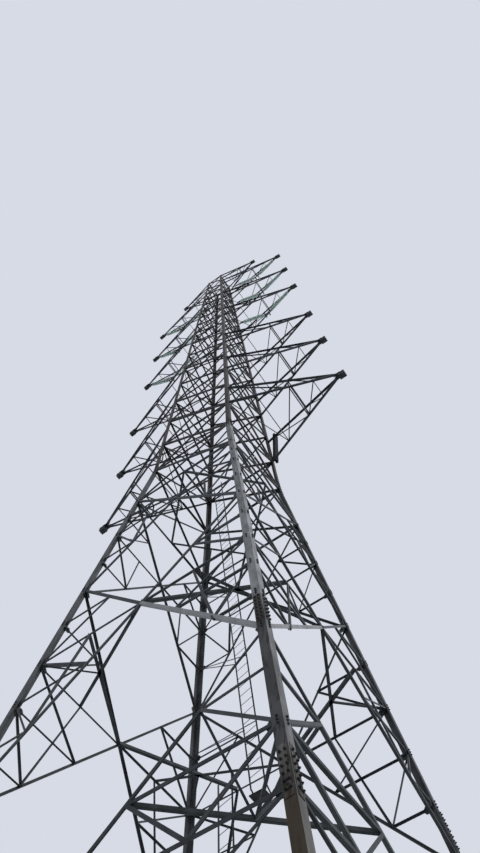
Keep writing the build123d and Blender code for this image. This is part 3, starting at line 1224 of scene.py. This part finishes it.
@dataclass
class Crossarm:
    """One crossarm: four chords, its web, its gussets and its hanger plates."""

    outline: Outline
    bench: Bench
    label: str
    hand: Hand
    height: float
    tip_reach: float
    rise: float
    hangers: tuple[Triple, ...]
    inner_share: float = 0.24
    web_share: float = 0.54
    outer_share: float = 0.75
    upper_stop: float = 0.965
    twin_gap: float = 0.035
    blob: float = 0.14
    blob_half: float = 0.048
    blob_lift: float = 0.018
    blob_bolts: float = 0.04
    packing_share: Pair = (0.9, 0.85)
    wing: Pair = (0.12, 0.09)
    wing_back: float = 0.10
    wing_out: float = 0.020
    wing_rise: float = 0.03
    wing_bolts: float = 0.05
    apex_back: float = 0.05
    apex_size: Pair = (0.16, 0.13)
    earth_apex_drop: float = 0.0095
    hanger_thickness: float = 0.014
    hanger_height: float = 0.130
    hanger_edge: float = 0.026
    hanger_drop: float = 0.090
    hole_radius: float = 0.011
    hole_sides: int = 20

    def chords(self) -> list[tuple[Vector, Vector]]:
        """Works out where the chords run.

        Returns:
            The ends of each, the level pair first.
        """
        outline, hand = self.outline, self.hand.value
        tip = outline.in_arm_plane(self.hand, self.tip_reach, self.height)
        ends = []
        for height in (self.height, self.height + self.rise):
            for along in (-1, 1):
                across = hand * (outline.half_width(height) + SEAT)
                root = Vector((across, along * outline.gauge_line(height), height))
                ends.append((outline.axis + root, tip))
        return ends

    def hanger(self, reach: float, inner: float, outer: float) -> Piece:
        """Models a plate with the hole that a string or a clamp hangs from.

        Args:
            reach: Distance of the hole from the tower's axis.
            inner: Distance of the plate's inner end.
            outer: Distance of its outer end.

        Returns:
            The plate.
        """
        outline, tall = self.outline, self.hanger_height
        hole = outline.in_arm_plane(self.hand, reach, self.height - self.hanger_drop)
        middle = outline.in_arm_plane(self.hand, (inner + outer) / 2, 0)
        middle.z = hole.z + tall / 2 - self.hanger_edge
        size = (outer - inner, self.hanger_thickness, tall)
        plate = self.bench.block("hanger", size, middle)
        drill = self.bench.primitive(
            "drill",
            bpy.ops.mesh.primitive_cylinder_add,
            vertices=self.hole_sides,
            radius=self.hole_radius,
            depth=4 * self.hanger_thickness,
            location=hole,
            rotation=(math.pi / 2, 0, 0),
        )
        cut = plate.modifiers.new("hole", "BOOLEAN")
        cut.operation = "DIFFERENCE"
        cut.object = drill
        self.bench.pick(plate)
        bpy.ops.object.modifier_apply(modifier=cut.name)
        bpy.data.objects.remove(drill)
        return self.bench.tint(plate, DICE.random())

    def webs(self, chords: list[tuple[Vector, Vector]], inward: Vector) -> list[Piece]:
        """Builds the bars between the chords.

        Args:
            chords: The chords' ends, the level pair first.
            inward: The way from the level pair to the sloping pair.

        Returns:
            The bars.
        """
        roots, inner, main, outer = (
            [root + (tip - root) * share for root, tip in chords]
            for share in (0, self.inner_share, self.web_share, self.outer_share)
        )
        side, web, lacing = self.hand.way, Gauge.WEB, Gauge.LACING
        bars = [
            (lacing, inner[0], inner[1], inward),
            (web, main[0], inner[1], inward),
            (lacing, roots[0], inner[1], inward),
            (lacing, outer[0], outer[1], inward),
            (web, outer[0], main[1], inward),
            (web, main[2], main[3], inward),
        ]
        for low, high in ((0, 2), (1, 3)):
            bars += [
                (web, main[low], main[high], -side),
                (web, roots[high], main[low], -side),
                (lacing, outer[low], outer[high], -side),
                (lacing, main[high], outer[low], -side),
            ]
        for step in centred(2, self.twin_gap):
            bars.append((web, main[0] + side * step, main[1] + side * step, inward))
        return [self.bench.bar(*bar) for bar in bars]

    def tip_fittings(self, tip: Vector) -> list[Piece]:
        """Builds the gussets and bolts that clasp the chords at the tip.

        Args:
            tip: Where the chords meet.

        Returns:
            The fittings, all at the dull end of the finish, as painted shade on plates that face
            down.
        """
        bench, side, size = self.bench, self.hand.way, self.blob
        ahead = self.hangers[0][2] - self.tip_reach - size / 2
        centre = tip + side * ahead - UP * (size / 2 - self.blob_lift)
        parts = []
        for out in (Vector((0, -1, 0)), Vector((0, 1, 0))):
            middle = centre + out * self.blob_half
            parts.append(bench.plate("cover", middle, out, UP, (size, size)))
            wing = tip - side * self.wing_back + out * self.wing_out + UP * self.rise * self.wing_rise
            parts.append(bench.plate("gusset", wing, out, UP, self.wing))
            for step in (-0.5, 0.5):
                for spot, pitch in ((middle, self.blob_bolts), (wing, self.wing_bolts)):
                    parts.append(bench.bolt(spot + side * step * pitch + out * PLATE, out))
        wide, tall = (size * share for share in self.packing_share)
        parts.append(bench.block("packing", (wide, 2 * self.blob_half, tall), centre))
        lift = Gauge.CHORD.thickness if self.rise > 0 else -self.earth_apex_drop
        floor = tip - side * self.apex_back + UP * lift
        forward = Vector((0, self.hand.value, 0))
        parts.append(bench.plate("gusset", floor, -UP, forward, self.apex_size))
        # A tone of 0 paints the fittings dark, as the shade on their downward faces.
        return [bench.tint(part, 0.0) for part in parts]

    def build(self) -> Piece:
        """Builds the arm.

        Returns:
            The arm, in one piece.
        """
        chords = self.chords()
        inward = UP if self.rise > 0 else -UP
        parts = self.webs(chords, inward) + self.tip_fittings(chords[0][1])
        for index, (root, tip) in enumerate(chords):
            level = index < 2
            end = tip if level else root + (tip - root) * self.upper_stop
            parts.append(self.bench.bar(Gauge.CHORD, root, end, inward if level else -inward))
        parts += [self.hanger(*sizes) for sizes in self.hangers]
        return self.bench.merge(f"{self.label}_angles", parts)


@dataclass
class VeeString:
    """Two strings of glass discs that meet at a yoke with two clamps."""

    outline: Outline
    bench: Bench
    label: str
    hand: Hand
    height: float
    roots: Pair
    drop: float = 0.95
    hole_drop: float = 0.0917
    disc_count: int = 12
    disc_pitch: float = 0.085
    disc_top: tuple[int, float, float, float] = (12, 0.022, 0.004, 0.03)
    bell: tuple[Pair, ...] = ((1.8, -0.010), (1.41, -0.028), (0.9, 0.003), (0.35, 0.018))
    cap: tuple[int, float, float, float] = (10, 0.015, 0.016, 0.038)
    neck: tuple[Pair, ...] = ((0.6, 0.006), (0.6, 0.012))
    pin_rim: float = 0.009
    pin_drop: float = 0.047
    ear: float = 0.058
    ear_half: float = 0.0113
    ear_ends: Pair = (-0.02, 0.07)
    ear_seat: float = 0.003
    rod_start: float = 0.055
    yoke_half: float = 0.09
    yoke_height: float = 0.11
    yoke_edge: float = 0.03
    yoke_thickness: float = 0.014
    yoke_taper: float = 0.75
    clamp_half: float = 0.06
    stem: Triple = (0.014, 0.014, 0.07)
    shoe: Triple = (0.036, 0.14, 0.036)
    shoe_drop: float = 0.09
    shoe_rim: float = 0.006
    shoe_taper: float = 0.6
    tone: float = 0.4

    @classmethod
    def model_parts(cls, bench: Bench) -> None:
        """Models one glass bell with its metal cap and pin, hanging along Z.

        Args:
            bench: Where the prototypes are kept.
        """
        disc = bench.round("disc", *cls.disc_top)
        bench.edit(disc, underneath, *turned(cls.bell))
        cap = bench.round("cap", *cls.cap)
        bench.edit(cap, on_top, *turned(cls.neck))
        bench.edit(cap, underneath, inset(cls.pin_rim), extrude(0, 0, -cls.pin_drop))
        bench.store(disc)
        bench.store(cap)

    def build(self) -> tuple[Piece, Piece]:
        """Builds the set.

        Returns:
            The glass, and the metal that carries it.
        """
        bench, level = self.bench, self.height - self.hole_drop
        middle = sum(self.roots) / 2
        vertex = self.outline.in_arm_plane(self.hand, middle, level - self.drop)
        glass, metal = [], []
        for reach in self.roots:
            pin = self.outline.in_arm_plane(self.hand, reach, level)
            half = self.yoke_half if reach > middle else -self.yoke_half
            foot = vertex + self.hand.way * half
            run = foot - pin
            first = (run.length + self.ear - self.disc_pitch * self.disc_count) / 2
            for index in range(self.disc_count):
                spot = pin + run.normalized() * (first + self.disc_pitch * (index + 0.5))
                glass.append(bench.copy("disc", aimed(spot, -run)))
                metal.append(bench.copy("cap", aimed(spot, -run)))
            metal += self.fittings(pin, foot, first)
        metal += self.yoke(vertex)
        return bench.merge(f"{self.label}_glass", glass), bench.merge(f"{self.label}_metal", metal)

    def fittings(self, pin: Vector, foot: Vector, first: float) -> list[Piece]:
        """Builds a string's ears, pin and end rods.

        Args:
            pin: Middle of the pin that the string hangs from.
            foot: Where the string meets the yoke.
            first: Distance from the pin to the first disc.

        Returns:
            The fittings.
        """
        bench, sideways = self.bench, Vector((0, 1, 0))
        along = (foot - pin).normalized()
        parts = []
        for out in (-sideways, sideways):
            start, end = (pin + along * reach + out * self.ear_half for reach in self.ear_ends)
            parts.append(bench.bar(Gauge.LACING, start, end, out))
            parts.append(bench.bolt(pin + out * self.ear_half + out * self.ear_seat, out))
        upper = (pin + along * self.rod_start, pin + along * first)
        for ends in (upper, (foot - along * first, foot)):
            parts.append(bench.bar(Gauge.LACING, *ends, sideways))
        return parts

    def yoke(self, vertex: Vector) -> list[Piece]:
        """Builds the yoke plate and its two clamps.

        Args:
            vertex: Middle of the line between the strings' feet.

        Returns:
            The plate, and a stem and a shoe for each clamp.
        """
        bench = self.bench
        wide = 2 * (self.yoke_half + self.yoke_edge)
        tall = self.yoke_height + self.yoke_edge
        centre = vertex + UP * (self.yoke_edge - tall / 2)
        plate = bench.block("yoke", (wide, self.yoke_thickness, tall), centre)
        bench.edit(plate, underneath, resize(self.yoke_taper, 1, 1))
        parts = [plate]
        for side in (-1, 1):
            top = vertex + Vector((side * self.clamp_half, 0, -self.yoke_height))
            stem = bench.block("stem", self.stem, top - UP * (self.stem[2] / 2))
            shoe = bench.block("shoe", self.shoe, top - UP * self.shoe_drop)
            ridge = tuple(top - UP * (self.shoe_drop - self.shoe[2] / 2))
            ease = resize(1, 1, self.shoe_taper, center_override=ridge)
            bench.edit(shoe, along_y, inset(self.shoe_rim), ease)
            parts += [stem, shoe]
        return [bench.tint(part, self.tone) for part in parts]


@dataclass
class Ladder:
    """A straight ladder of thin stiles and rungs, held by struts from a leg."""

    bench: Bench
    label: str
    foot: Vector
    head: Vector
    struts: tuple[tuple[float, Vector], ...] = ()
    across: Vector = field(default_factory=lambda: Vector((0.085, -0.019, 0)))
    rung: float = 0.006
    rung_pitch: float = 0.14
    rod_sides: int = 6
    rod_rim: float = 0.1

    @classmethod
    def model_rod(cls, bench: Bench) -> None:
        """Models one metre of six-sided rod along Z, 1 m thick, its ends eased.

        Args:
            bench: Where the prototype is kept.
        """
        rod = bench.round("rod", cls.rod_sides, 0.5, 1, 0.5)
        bench.edit(rod, lambda side: on_top(side) or underneath(side), inset(cls.rod_rim))
        bench.store(rod)

    def rod(self, start: Vector, end: Vector) -> Piece:
        """Places a rung between two points."""
        size = Matrix.Diagonal((self.rung, self.rung, (end - start).length, 1))
        return self.bench.copy("rod", aimed(start, end - start) @ size)

    def build(self) -> Piece:
        """Builds the ladder.

        Returns:
            The stiles, rungs and struts in one piece.
        """
        run = self.head - self.foot
        halves = (self.across, -self.across)
        parts = []
        for half in halves:
            parts.append(self.bench.bar(Gauge.STILE, self.foot + half, self.head + half, half))
        for index in range(1, int(run.length / self.rung_pitch)):
            spot = self.foot + run.normalized() * (index * self.rung_pitch)
            parts.append(self.rod(spot - self.across, spot + self.across))
        for height, end in self.struts:
            spot = self.foot + run * ((height - self.foot.z) / run.z)
            for half in halves:
                parts.append(self.bench.bar(Gauge.STILE, spot + half, end, UP))
        return self.bench.merge(self.label, parts)


@dataclass
class Platform:
    """The small resting plate at the foot of the upper ladder."""

    bench: Bench
    middle: Vector
    hangers: tuple[Vector, Vector]
    half: Pair = (0.085, 0.075)
    thickness: float = 0.012
    rim: float = 0.008
    tray_depth: float = 0.006
    tone: float = 0.2

    def build(self) -> Piece:
        """Builds the plate, its rim and its two bearers.

        Returns:
            The platform.
        """
        wide, deep = self.half
        size = (2 * wide, 2 * deep, self.thickness)
        plate = self.bench.block("platform", size, self.middle)
        self.bench.edit(plate, on_top, inset(self.rim), extrude(0, 0, -self.tray_depth))
        parts = [self.bench.tint(plate, self.tone)]
        for sign, end in zip((-1, 1), self.hangers):
            corner = self.middle + Vector((sign * wide, deep, 0))
            parts.append(self.bench.bar(Gauge.LACING, corner, end, UP))
        return self.bench.merge("resting_platform", parts)


@dataclass
class LegPlate:
    """The dark plate that stands beside the right leg at the lowest arms."""

    bench: Bench
    foot: Vector
    head: Vector
    width: float = 0.13
    thickness: float = 0.05
    rim: float = 0.01
    raised: float = 0.7

    def build(self) -> Piece:
        """Builds the plate, with a raised rim on both broad sides.

        Returns:
            The plate.
        """
        run = self.head - self.foot
        centre = (0, 0, run.length / 2)
        plate = self.bench.block("leg_plate", (self.width, self.thickness, run.length), centre)
        sink = resize(1, self.raised, 1, center_override=centre)
        self.bench.edit(plate, along_y, inset(self.rim, use_individual=True), sink)
        plate.data.transform(aimed(self.foot, run))
        return plate


@dataclass
class Studio:
    """Camera, light, floor and background."""

    axis: Vector
    lens: float = 30.23
    sensor: float = 36.0
    sight: float = 400.0
    eye: Triple = (3.285, -4.585, 0.8)
    view: tuple[Triple, Triple, Triple] = (
        (0.8217, 0.5693, -0.0262),
        (0.5385, -0.7606, 0.3626),
        (0.1865, -0.3121, -0.9316),
    )
    sky: Triple = (0.680, 0.708, 0.785)
    ambient: Triple = (0.90, 0.95, 1.0)
    ambient_strength: float = 0.55
    sun: Triple = (0.80, 0.10, 0.60)
    sun_energy: float = 1.25
    sun_softness: float = 40
    floor_size: float = 160
    floor_grey: Triple = (0.62, 0.63, 0.65)
    floor_roughness: float = 0.9

    @staticmethod
    def place(name: str, data: bpy.types.ID) -> Piece:
        """Puts a camera or a lamp into the scene.

        Args:
            name: Its name.
            data: Its settings.

        Returns:
            The object.
        """
        made = bpy.data.objects.new(name, data)
        bpy.context.scene.collection.objects.link(made)
        return made

    def camera(self) -> None:
        """Places the camera at the photograph's viewing angle."""
        data = bpy.data.cameras.new("view")
        data.lens = self.lens
        data.sensor_width = self.sensor
        data.clip_end = self.sight
        camera = self.place("view", data)
        camera.matrix_world = columns(*self.view, self.axis + Vector(self.eye))
        bpy.context.scene.camera = camera

    def background(self) -> None:
        """Gives the world a soft light, and a plain pale colour to the eye."""
        world = bpy.data.worlds.new("studio")
        world.use_nodes = True
        bpy.context.scene.world = world
        shading = Shading(world.node_tree)
        light = shading.tree.nodes["Background"]
        shading.feed(light, {"Color": (*self.ambient, 1), "Strength": self.ambient_strength})
        seen = shading.add("Background", {"Color": (*self.sky, 1)})
        path = shading.add("LightPath").outputs
        either = shading.reckon("MAXIMUM", path["Is Camera Ray"], path["Is Glossy Ray"])
        share = shading.reckon("MAXIMUM", either, path["Is Transmission Ray"])
        ends = {1: light.outputs["Background"], 2: seen.outputs["Background"]}
        mixed = shading.add("MixShader", {"Fac": share, **ends}).outputs["Shader"]
        shading.feed(shading.tree.nodes["World Output"], {"Surface": mixed})

    def lamp(self) -> None:
        """Adds one large soft lamp, high on the right."""
        data = bpy.data.lights.new("soft_sky", "SUN")
        data.energy = self.sun_energy
        data.angle = math.radians(self.sun_softness)
        lamp = self.place("soft_sky", data)
        lamp.rotation_euler = Vector(self.sun).to_track_quat("Z", "Y").to_euler()

    def floor(self) -> None:
        """Lays a plain pale floor."""
        spot = (self.axis.x, self.axis.y, 0)
        kind = bpy.ops.mesh.primitive_plane_add
        floor = Bench.primitive("floor", kind, size=self.floor_size, location=spot)
        made, shading = Finish("pale_floor").start()
        shading.surface({"Base Color": (*self.floor_grey, 1), "Roughness": self.floor_roughness})
        floor.data.materials.append(made)

    def build(self) -> None:
        """Sets the whole studio up."""
        self.camera()
        self.background()
        self.lamp()
        self.floor()
        bpy.context.scene.view_settings.view_transform = "Standard"


@dataclass
class Tower:
    """The whole tower, built around the frame one sub-assembly after another."""

    outline: Outline
    bench: Bench
    dresser: Dresser
    pale_sides: dict[Face, int] = field(default_factory=lambda: {Face.FRONT: 1, Face.RIGHT: -1})
    splices: tuple[tuple[str, float, float], ...] = (
        ("foot", 3.56, 3.97),
        ("knee", 5.45, 5.87),
        ("waist", 12.35, 12.85),
    )
    arm_names: tuple[str, ...] = ("first", "second", "third", "fourth", "fifth", "sixth")
    plain_arms: int = 3
    tip_reach: float = 2.87
    arm_rise: float = 1.0
    roots: Pair = (2.69, 0.87)
    plain_hangers: tuple[Triple, ...] = ((2.87, 2.795, 2.945),)
    strung_hangers: tuple[Triple, ...] = ((2.69, 2.615, 2.945), (0.87, 0.795, 0.945))
    earth_height: float = 32.377
    earth_reach: float = 1.81
    earth_rise: float = -0.95
    earth_hangers: tuple[Triple, ...] = ((1.81, 1.735, 1.885),)
    strut_heights: tuple[Pair, ...] = ((6.55, 8.0), (7.6, 9.4), (9.0, 10.9))
    strut_end: Triple = (0.05, -0.05, 0)
    upper_ladder: tuple[Triple, Triple] = ((0.38, 0.13, 5.80), (-0.04, 0.04, 12.5))
    lower_ladder: tuple[Triple, Triple] = ((0.112, 0.05, 0.005), (0.14, -0.06, 5.85))
    platform_offset: Triple = (-0.05, 0.12, -0.02)
    leg_plate: tuple[Triple, Triple] = ((0.84, 0.80, 13.85), (0.93, 0.80, 15.05))

    def from_axis(self, *places: Triple) -> list[Vector]:
        """Turns places from the tower's axis into points."""
        return [self.outline.axis + Vector(place) for place in places]

    def legs(self) -> None:
        """Dresses the leg solids, which stay in view."""
        for corner in Corner:
            # The other legs and all upper legs take darker finishes, painted with the shade of the
            # backlit tower.
            lower = "near_leg_zinc" if corner is Corner.NEAR else "shaded_leg_zinc"
            self.dresser.dress_node(f"{corner.label}_lower_leg", lower)
            self.dresser.dress_node(f"{corner.label}_upper_leg", "shaded_upper_leg_zinc")

    def faces(self) -> None:
        """Builds the four faces above the first panel point."""
        for face in Face:
            bracing = FaceBracing(self.outline, self.bench, face)
            bars, pale = bracing.build_middle(self.pale_sides.get(face, 0))
            # The bars' finishes are painted with the shade of the backlit tower, the upper faces'
            # darker still.
            self.dresser.dress(bars, "shaded_brace_zinc", "brace_steel", f"{face.label}_middle")
            if pale:
                self.dresser.dress(pale, "pale_zinc", "brace_steel")
            upper, node = bracing.build_upper(), f"{face.label}_upper"
            self.dresser.dress(upper, "shaded_upper_brace_zinc", "brace_steel", node)

    def base(self) -> None:
        """Builds the base braces, leg by leg."""
        for corner in Corner:
            out = Vector((*corner.value, 0))
            node, parts = f"{corner.label}_base_braces", []
            for face in Face:
                if face.normal.dot(out) > 0:
                    bracing = BaseBracing(self.outline, self.bench, face)
                    parts += bracing.build_half(round(face.sideways.dot(out)))
            made = self.bench.merge(f"{node}_angles", parts)
            self.dresser.dress(made, "shaded_brace_zinc", "brace_steel", node)

    def plan_braces(self) -> None:
        """Builds the braces inside the body at three levels."""
        panel = FaceBracing(self.outline, self.bench, Face.FRONT)
        cross = panel.crossing(panel.base, panel.lower)
        hip = cross + (panel.lower - cross) / BaseBracing.steps
        for node, height, pattern in (
            ("lower_plan_brace", hip, PlanPattern.HIP),
            ("middle_plan_brace", panel.crossing(panel.lower, panel.middle), PlanPattern.CROSSED),
            ("waist_plan_brace", panel.upper, PlanPattern.DIAMOND),
        ):
            made = PlanBrace(self.outline, self.bench, node, height, pattern, panel).build()
            self.dresser.dress(made, "shaded_brace_zinc", "brace_steel", node)

    def leg_splices(self) -> None:
        """Builds the splices of the legs, the near leg's with rust of their own."""
        plates = {"foot": "splice_zinc", "knee": "rusty_zinc"}
        for corner in Corner:
            near = corner is Corner.NEAR
            for place, low, high in self.splices:
                splice = LegSplice(self.outline, self.bench, corner, low, high)
                covers, bolts = splice.build(f"{corner.label}_{place}_splice")
                finish = plates.get(place, "shaded_leg_zinc") if near else "shaded_leg_zinc"
                self.dresser.dress(covers, finish, "leg_steel")
                finish = "rusty_zinc" if near and place == "knee" else "bolt_zinc"
                self.dresser.dress(bolts, finish, "leg_steel")

    def arm(self, hand: Hand, name: str, *sizes: object) -> None:
        """Builds one crossarm.

        Args:
            hand: The side that it reaches to.
            name: Its name, without its side.
            sizes: Its height, reach, rise and hangers.
        """
        node = f"{hand.label}_{name}_arm"
        made = Crossarm(self.outline, self.bench, node, hand, *sizes).build()
        self.dresser.dress(made, "shaded_arm_zinc", "arm_steel", node)

    def arms(self) -> None:
        """Builds the crossarms, with the strings that hang from the upper three."""
        for name, height in zip(self.arm_names, FaceBracing.arm_heights):
            strung = name in self.arm_names[self.plain_arms:]
            hangers = self.strung_hangers if strung else self.plain_hangers
            for hand in Hand:
                self.arm(hand, name, height, self.tip_reach, self.arm_rise, hangers)
                if strung:
                    node = f"{hand.label}_{name}_vee_string"
                    string = VeeString(self.outline, self.bench, node, hand, height, self.roots)
                    glass, metal = string.build()
                    self.dresser.dress(glass, "green_glass", "string_glass", node)
                    self.dresser.dress(metal, "fitting_zinc", "arm_steel")
        earth = (self.earth_height, self.earth_reach, self.earth_rise, self.earth_hangers)
        for hand in Hand:
            self.arm(hand, "earth_wire", *earth)

    def way_up(self) -> None:
        """Builds the two ladders and the platform between them."""
        foot, head = self.from_axis(*self.upper_ladder)
        struts = tuple(
            (height, self.outline.heel(Corner.FAR, top) + Vector(self.strut_end))
            for height, top in self.strut_heights
        )
        upper = Ladder(self.bench, "upper_ladder", foot, head, struts)
        lower = Ladder(self.bench, "lower_ladder", *self.from_axis(*self.lower_ladder))
        for ladder in (upper, lower):
            self.dresser.dress(ladder.build(), "shaded_brace_zinc", "brace_steel")
        ends = (foot - upper.across, foot + upper.across)
        resting = Platform(self.bench, foot + Vector(self.platform_offset), ends)
        self.dresser.dress(resting.build(), "bolt_zinc", "brace_steel")

    def dark_plate(self) -> None:
        """Builds the dark plate beside the right leg."""
        plate = LegPlate(self.bench, *self.from_axis(*self.leg_plate))
        self.dresser.dress(plate.build(), "black_plate", "brace_steel")


FINISHES = (
    SteelFinish(
        "splice_zinc",
        (0.170, 0.165, 0.155),
        (0.050, 0.046, 0.040),
        (0.046, 0.035, 0.022),
        rust_amount=0.6,
    ),
    SteelFinish(
        "black_plate",
        (0.010, 0.012, 0.016),
        (0.005, 0.006, 0.008),
        rust_amount=0.0,
        specular=0.03,
    ),
    SteelFinish("rusty_zinc", (0.050, 0.044, 0.043), (0.026, 0.023, 0.023), rust_amount=0.4),
    SteelFinish("bolt_zinc", (0.040, 0.038, 0.037), (0.014, 0.014, 0.015)),
    # The other legs' lower lengths and all upper legs: zinc painted dark with the shade of the
    # backlit tower, the upper legs also rusty.
    SteelFinish("shaded_leg_zinc", (0.098, 0.104, 0.108), (0.036, 0.039, 0.042)),
    SteelFinish("shaded_upper_leg_zinc", (0.056, 0.050, 0.047), (0.015, 0.014, 0.013), rust_amount=0.4),
    # The near leg: its third colour is painted shade on its front flange, laid by height bands;
    # low_rust is rust at its foot.
    SteelFinish(
        "near_leg_zinc",
        (0.300, 0.305, 0.310),
        (0.140, 0.144, 0.148),
        (0.048, 0.045, 0.046),
        rust_amount=0.45,
        bands="near_leg_bands",
        low_rust=(0.066, 0.049, 0.032),
    ),
    # Bars of the lower body, ladders and plan braces: zinc painted dark with the shade of the backlit
    # tower.
    SteelFinish("shaded_brace_zinc", (0.080, 0.090, 0.095), (0.018, 0.022, 0.025), bar_tones=True),
    # Bars of the upper body: painted darker still with the shade that bars seen from below lie in,
    # and some rust.
    SteelFinish(
        "shaded_upper_brace_zinc",
        (0.058, 0.058, 0.057),
        (0.013, 0.014, 0.015),
        rust_amount=0.25,
        bar_tones=True,
    ),
    SteelFinish(
        "pale_zinc",
        (0.330, 0.340, 0.345),
        (0.180, 0.187, 0.192),
        rust_amount=0.05,
        bar_tones=True,
    ),
    # Arms: zinc painted dark with the shade of the backlit tower.
    SteelFinish("shaded_arm_zinc", (0.075, 0.082, 0.090), (0.020, 0.024, 0.029), bar_tones=True),
    SteelFinish("fitting_zinc", (0.110, 0.116, 0.120), (0.050, 0.054, 0.058), bar_tones=True),
    GlassFinish(),
)
# Heights and shares of the dark bands on the near leg's front flange: rust below the foot splice,
# painted shade above it.
NEAR_LEG_STOPS = (
    (0.0, 0.95),
    (3.5, 0.95),
    (3.75, 0.75),
    (5.2, 0.75),
    (5.5, 0.9),
    (5.9, 0.0),
    (7.7, 0.0),
    (8.4, 0.2),
    (12.6, 0.3),
)
FOOT_STOPS = ((0.0, 1.0), (3.52, 1.0), (3.66, 0.0))
# Share of the near leg's painted shade that is kept on its lit right flange.
RIGHT_FLANGE_SHADE = 0.5


def write_sizes() -> None:
    """Brings the scene's placings up to date."""
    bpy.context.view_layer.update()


def main() -> None:
    """Builds every sub-assembly around the frame."""
    logging.basicConfig(level=logging.INFO, format="%(name)s: %(message)s")
    low, high = CAD_BOX
    axis = Vector(((low.x + high.x) / 2, (low.y + high.y) / 2, 0))
    bench = Bench()
    bench.model_all()
    Ladder.model_rod(bench)
    VeeString.model_parts(bench)
    WeatheringAndShade.mottle()
    WeatheringAndShade.rust_and_shade()
    WeatheringAndShade.bands("near_leg_bands", NEAR_LEG_STOPS)
    WeatheringAndShade.bands("foot_band", FOOT_STOPS)
    WeatheringAndShade.shaded_flange(RIGHT_FLANGE_SHADE)
    dresser = Dresser({finish.name: finish.material() for finish in FINISHES})
    tower = Tower(Outline(axis), bench, dresser)
    tower.legs()
    tower.faces()
    tower.base()
    tower.plan_braces()
    tower.leg_splices()
    tower.arms()
    tower.way_up()
    tower.dark_plate()
    Studio(axis).build()
    write_sizes()


if __name__ == "__main__":
    main()
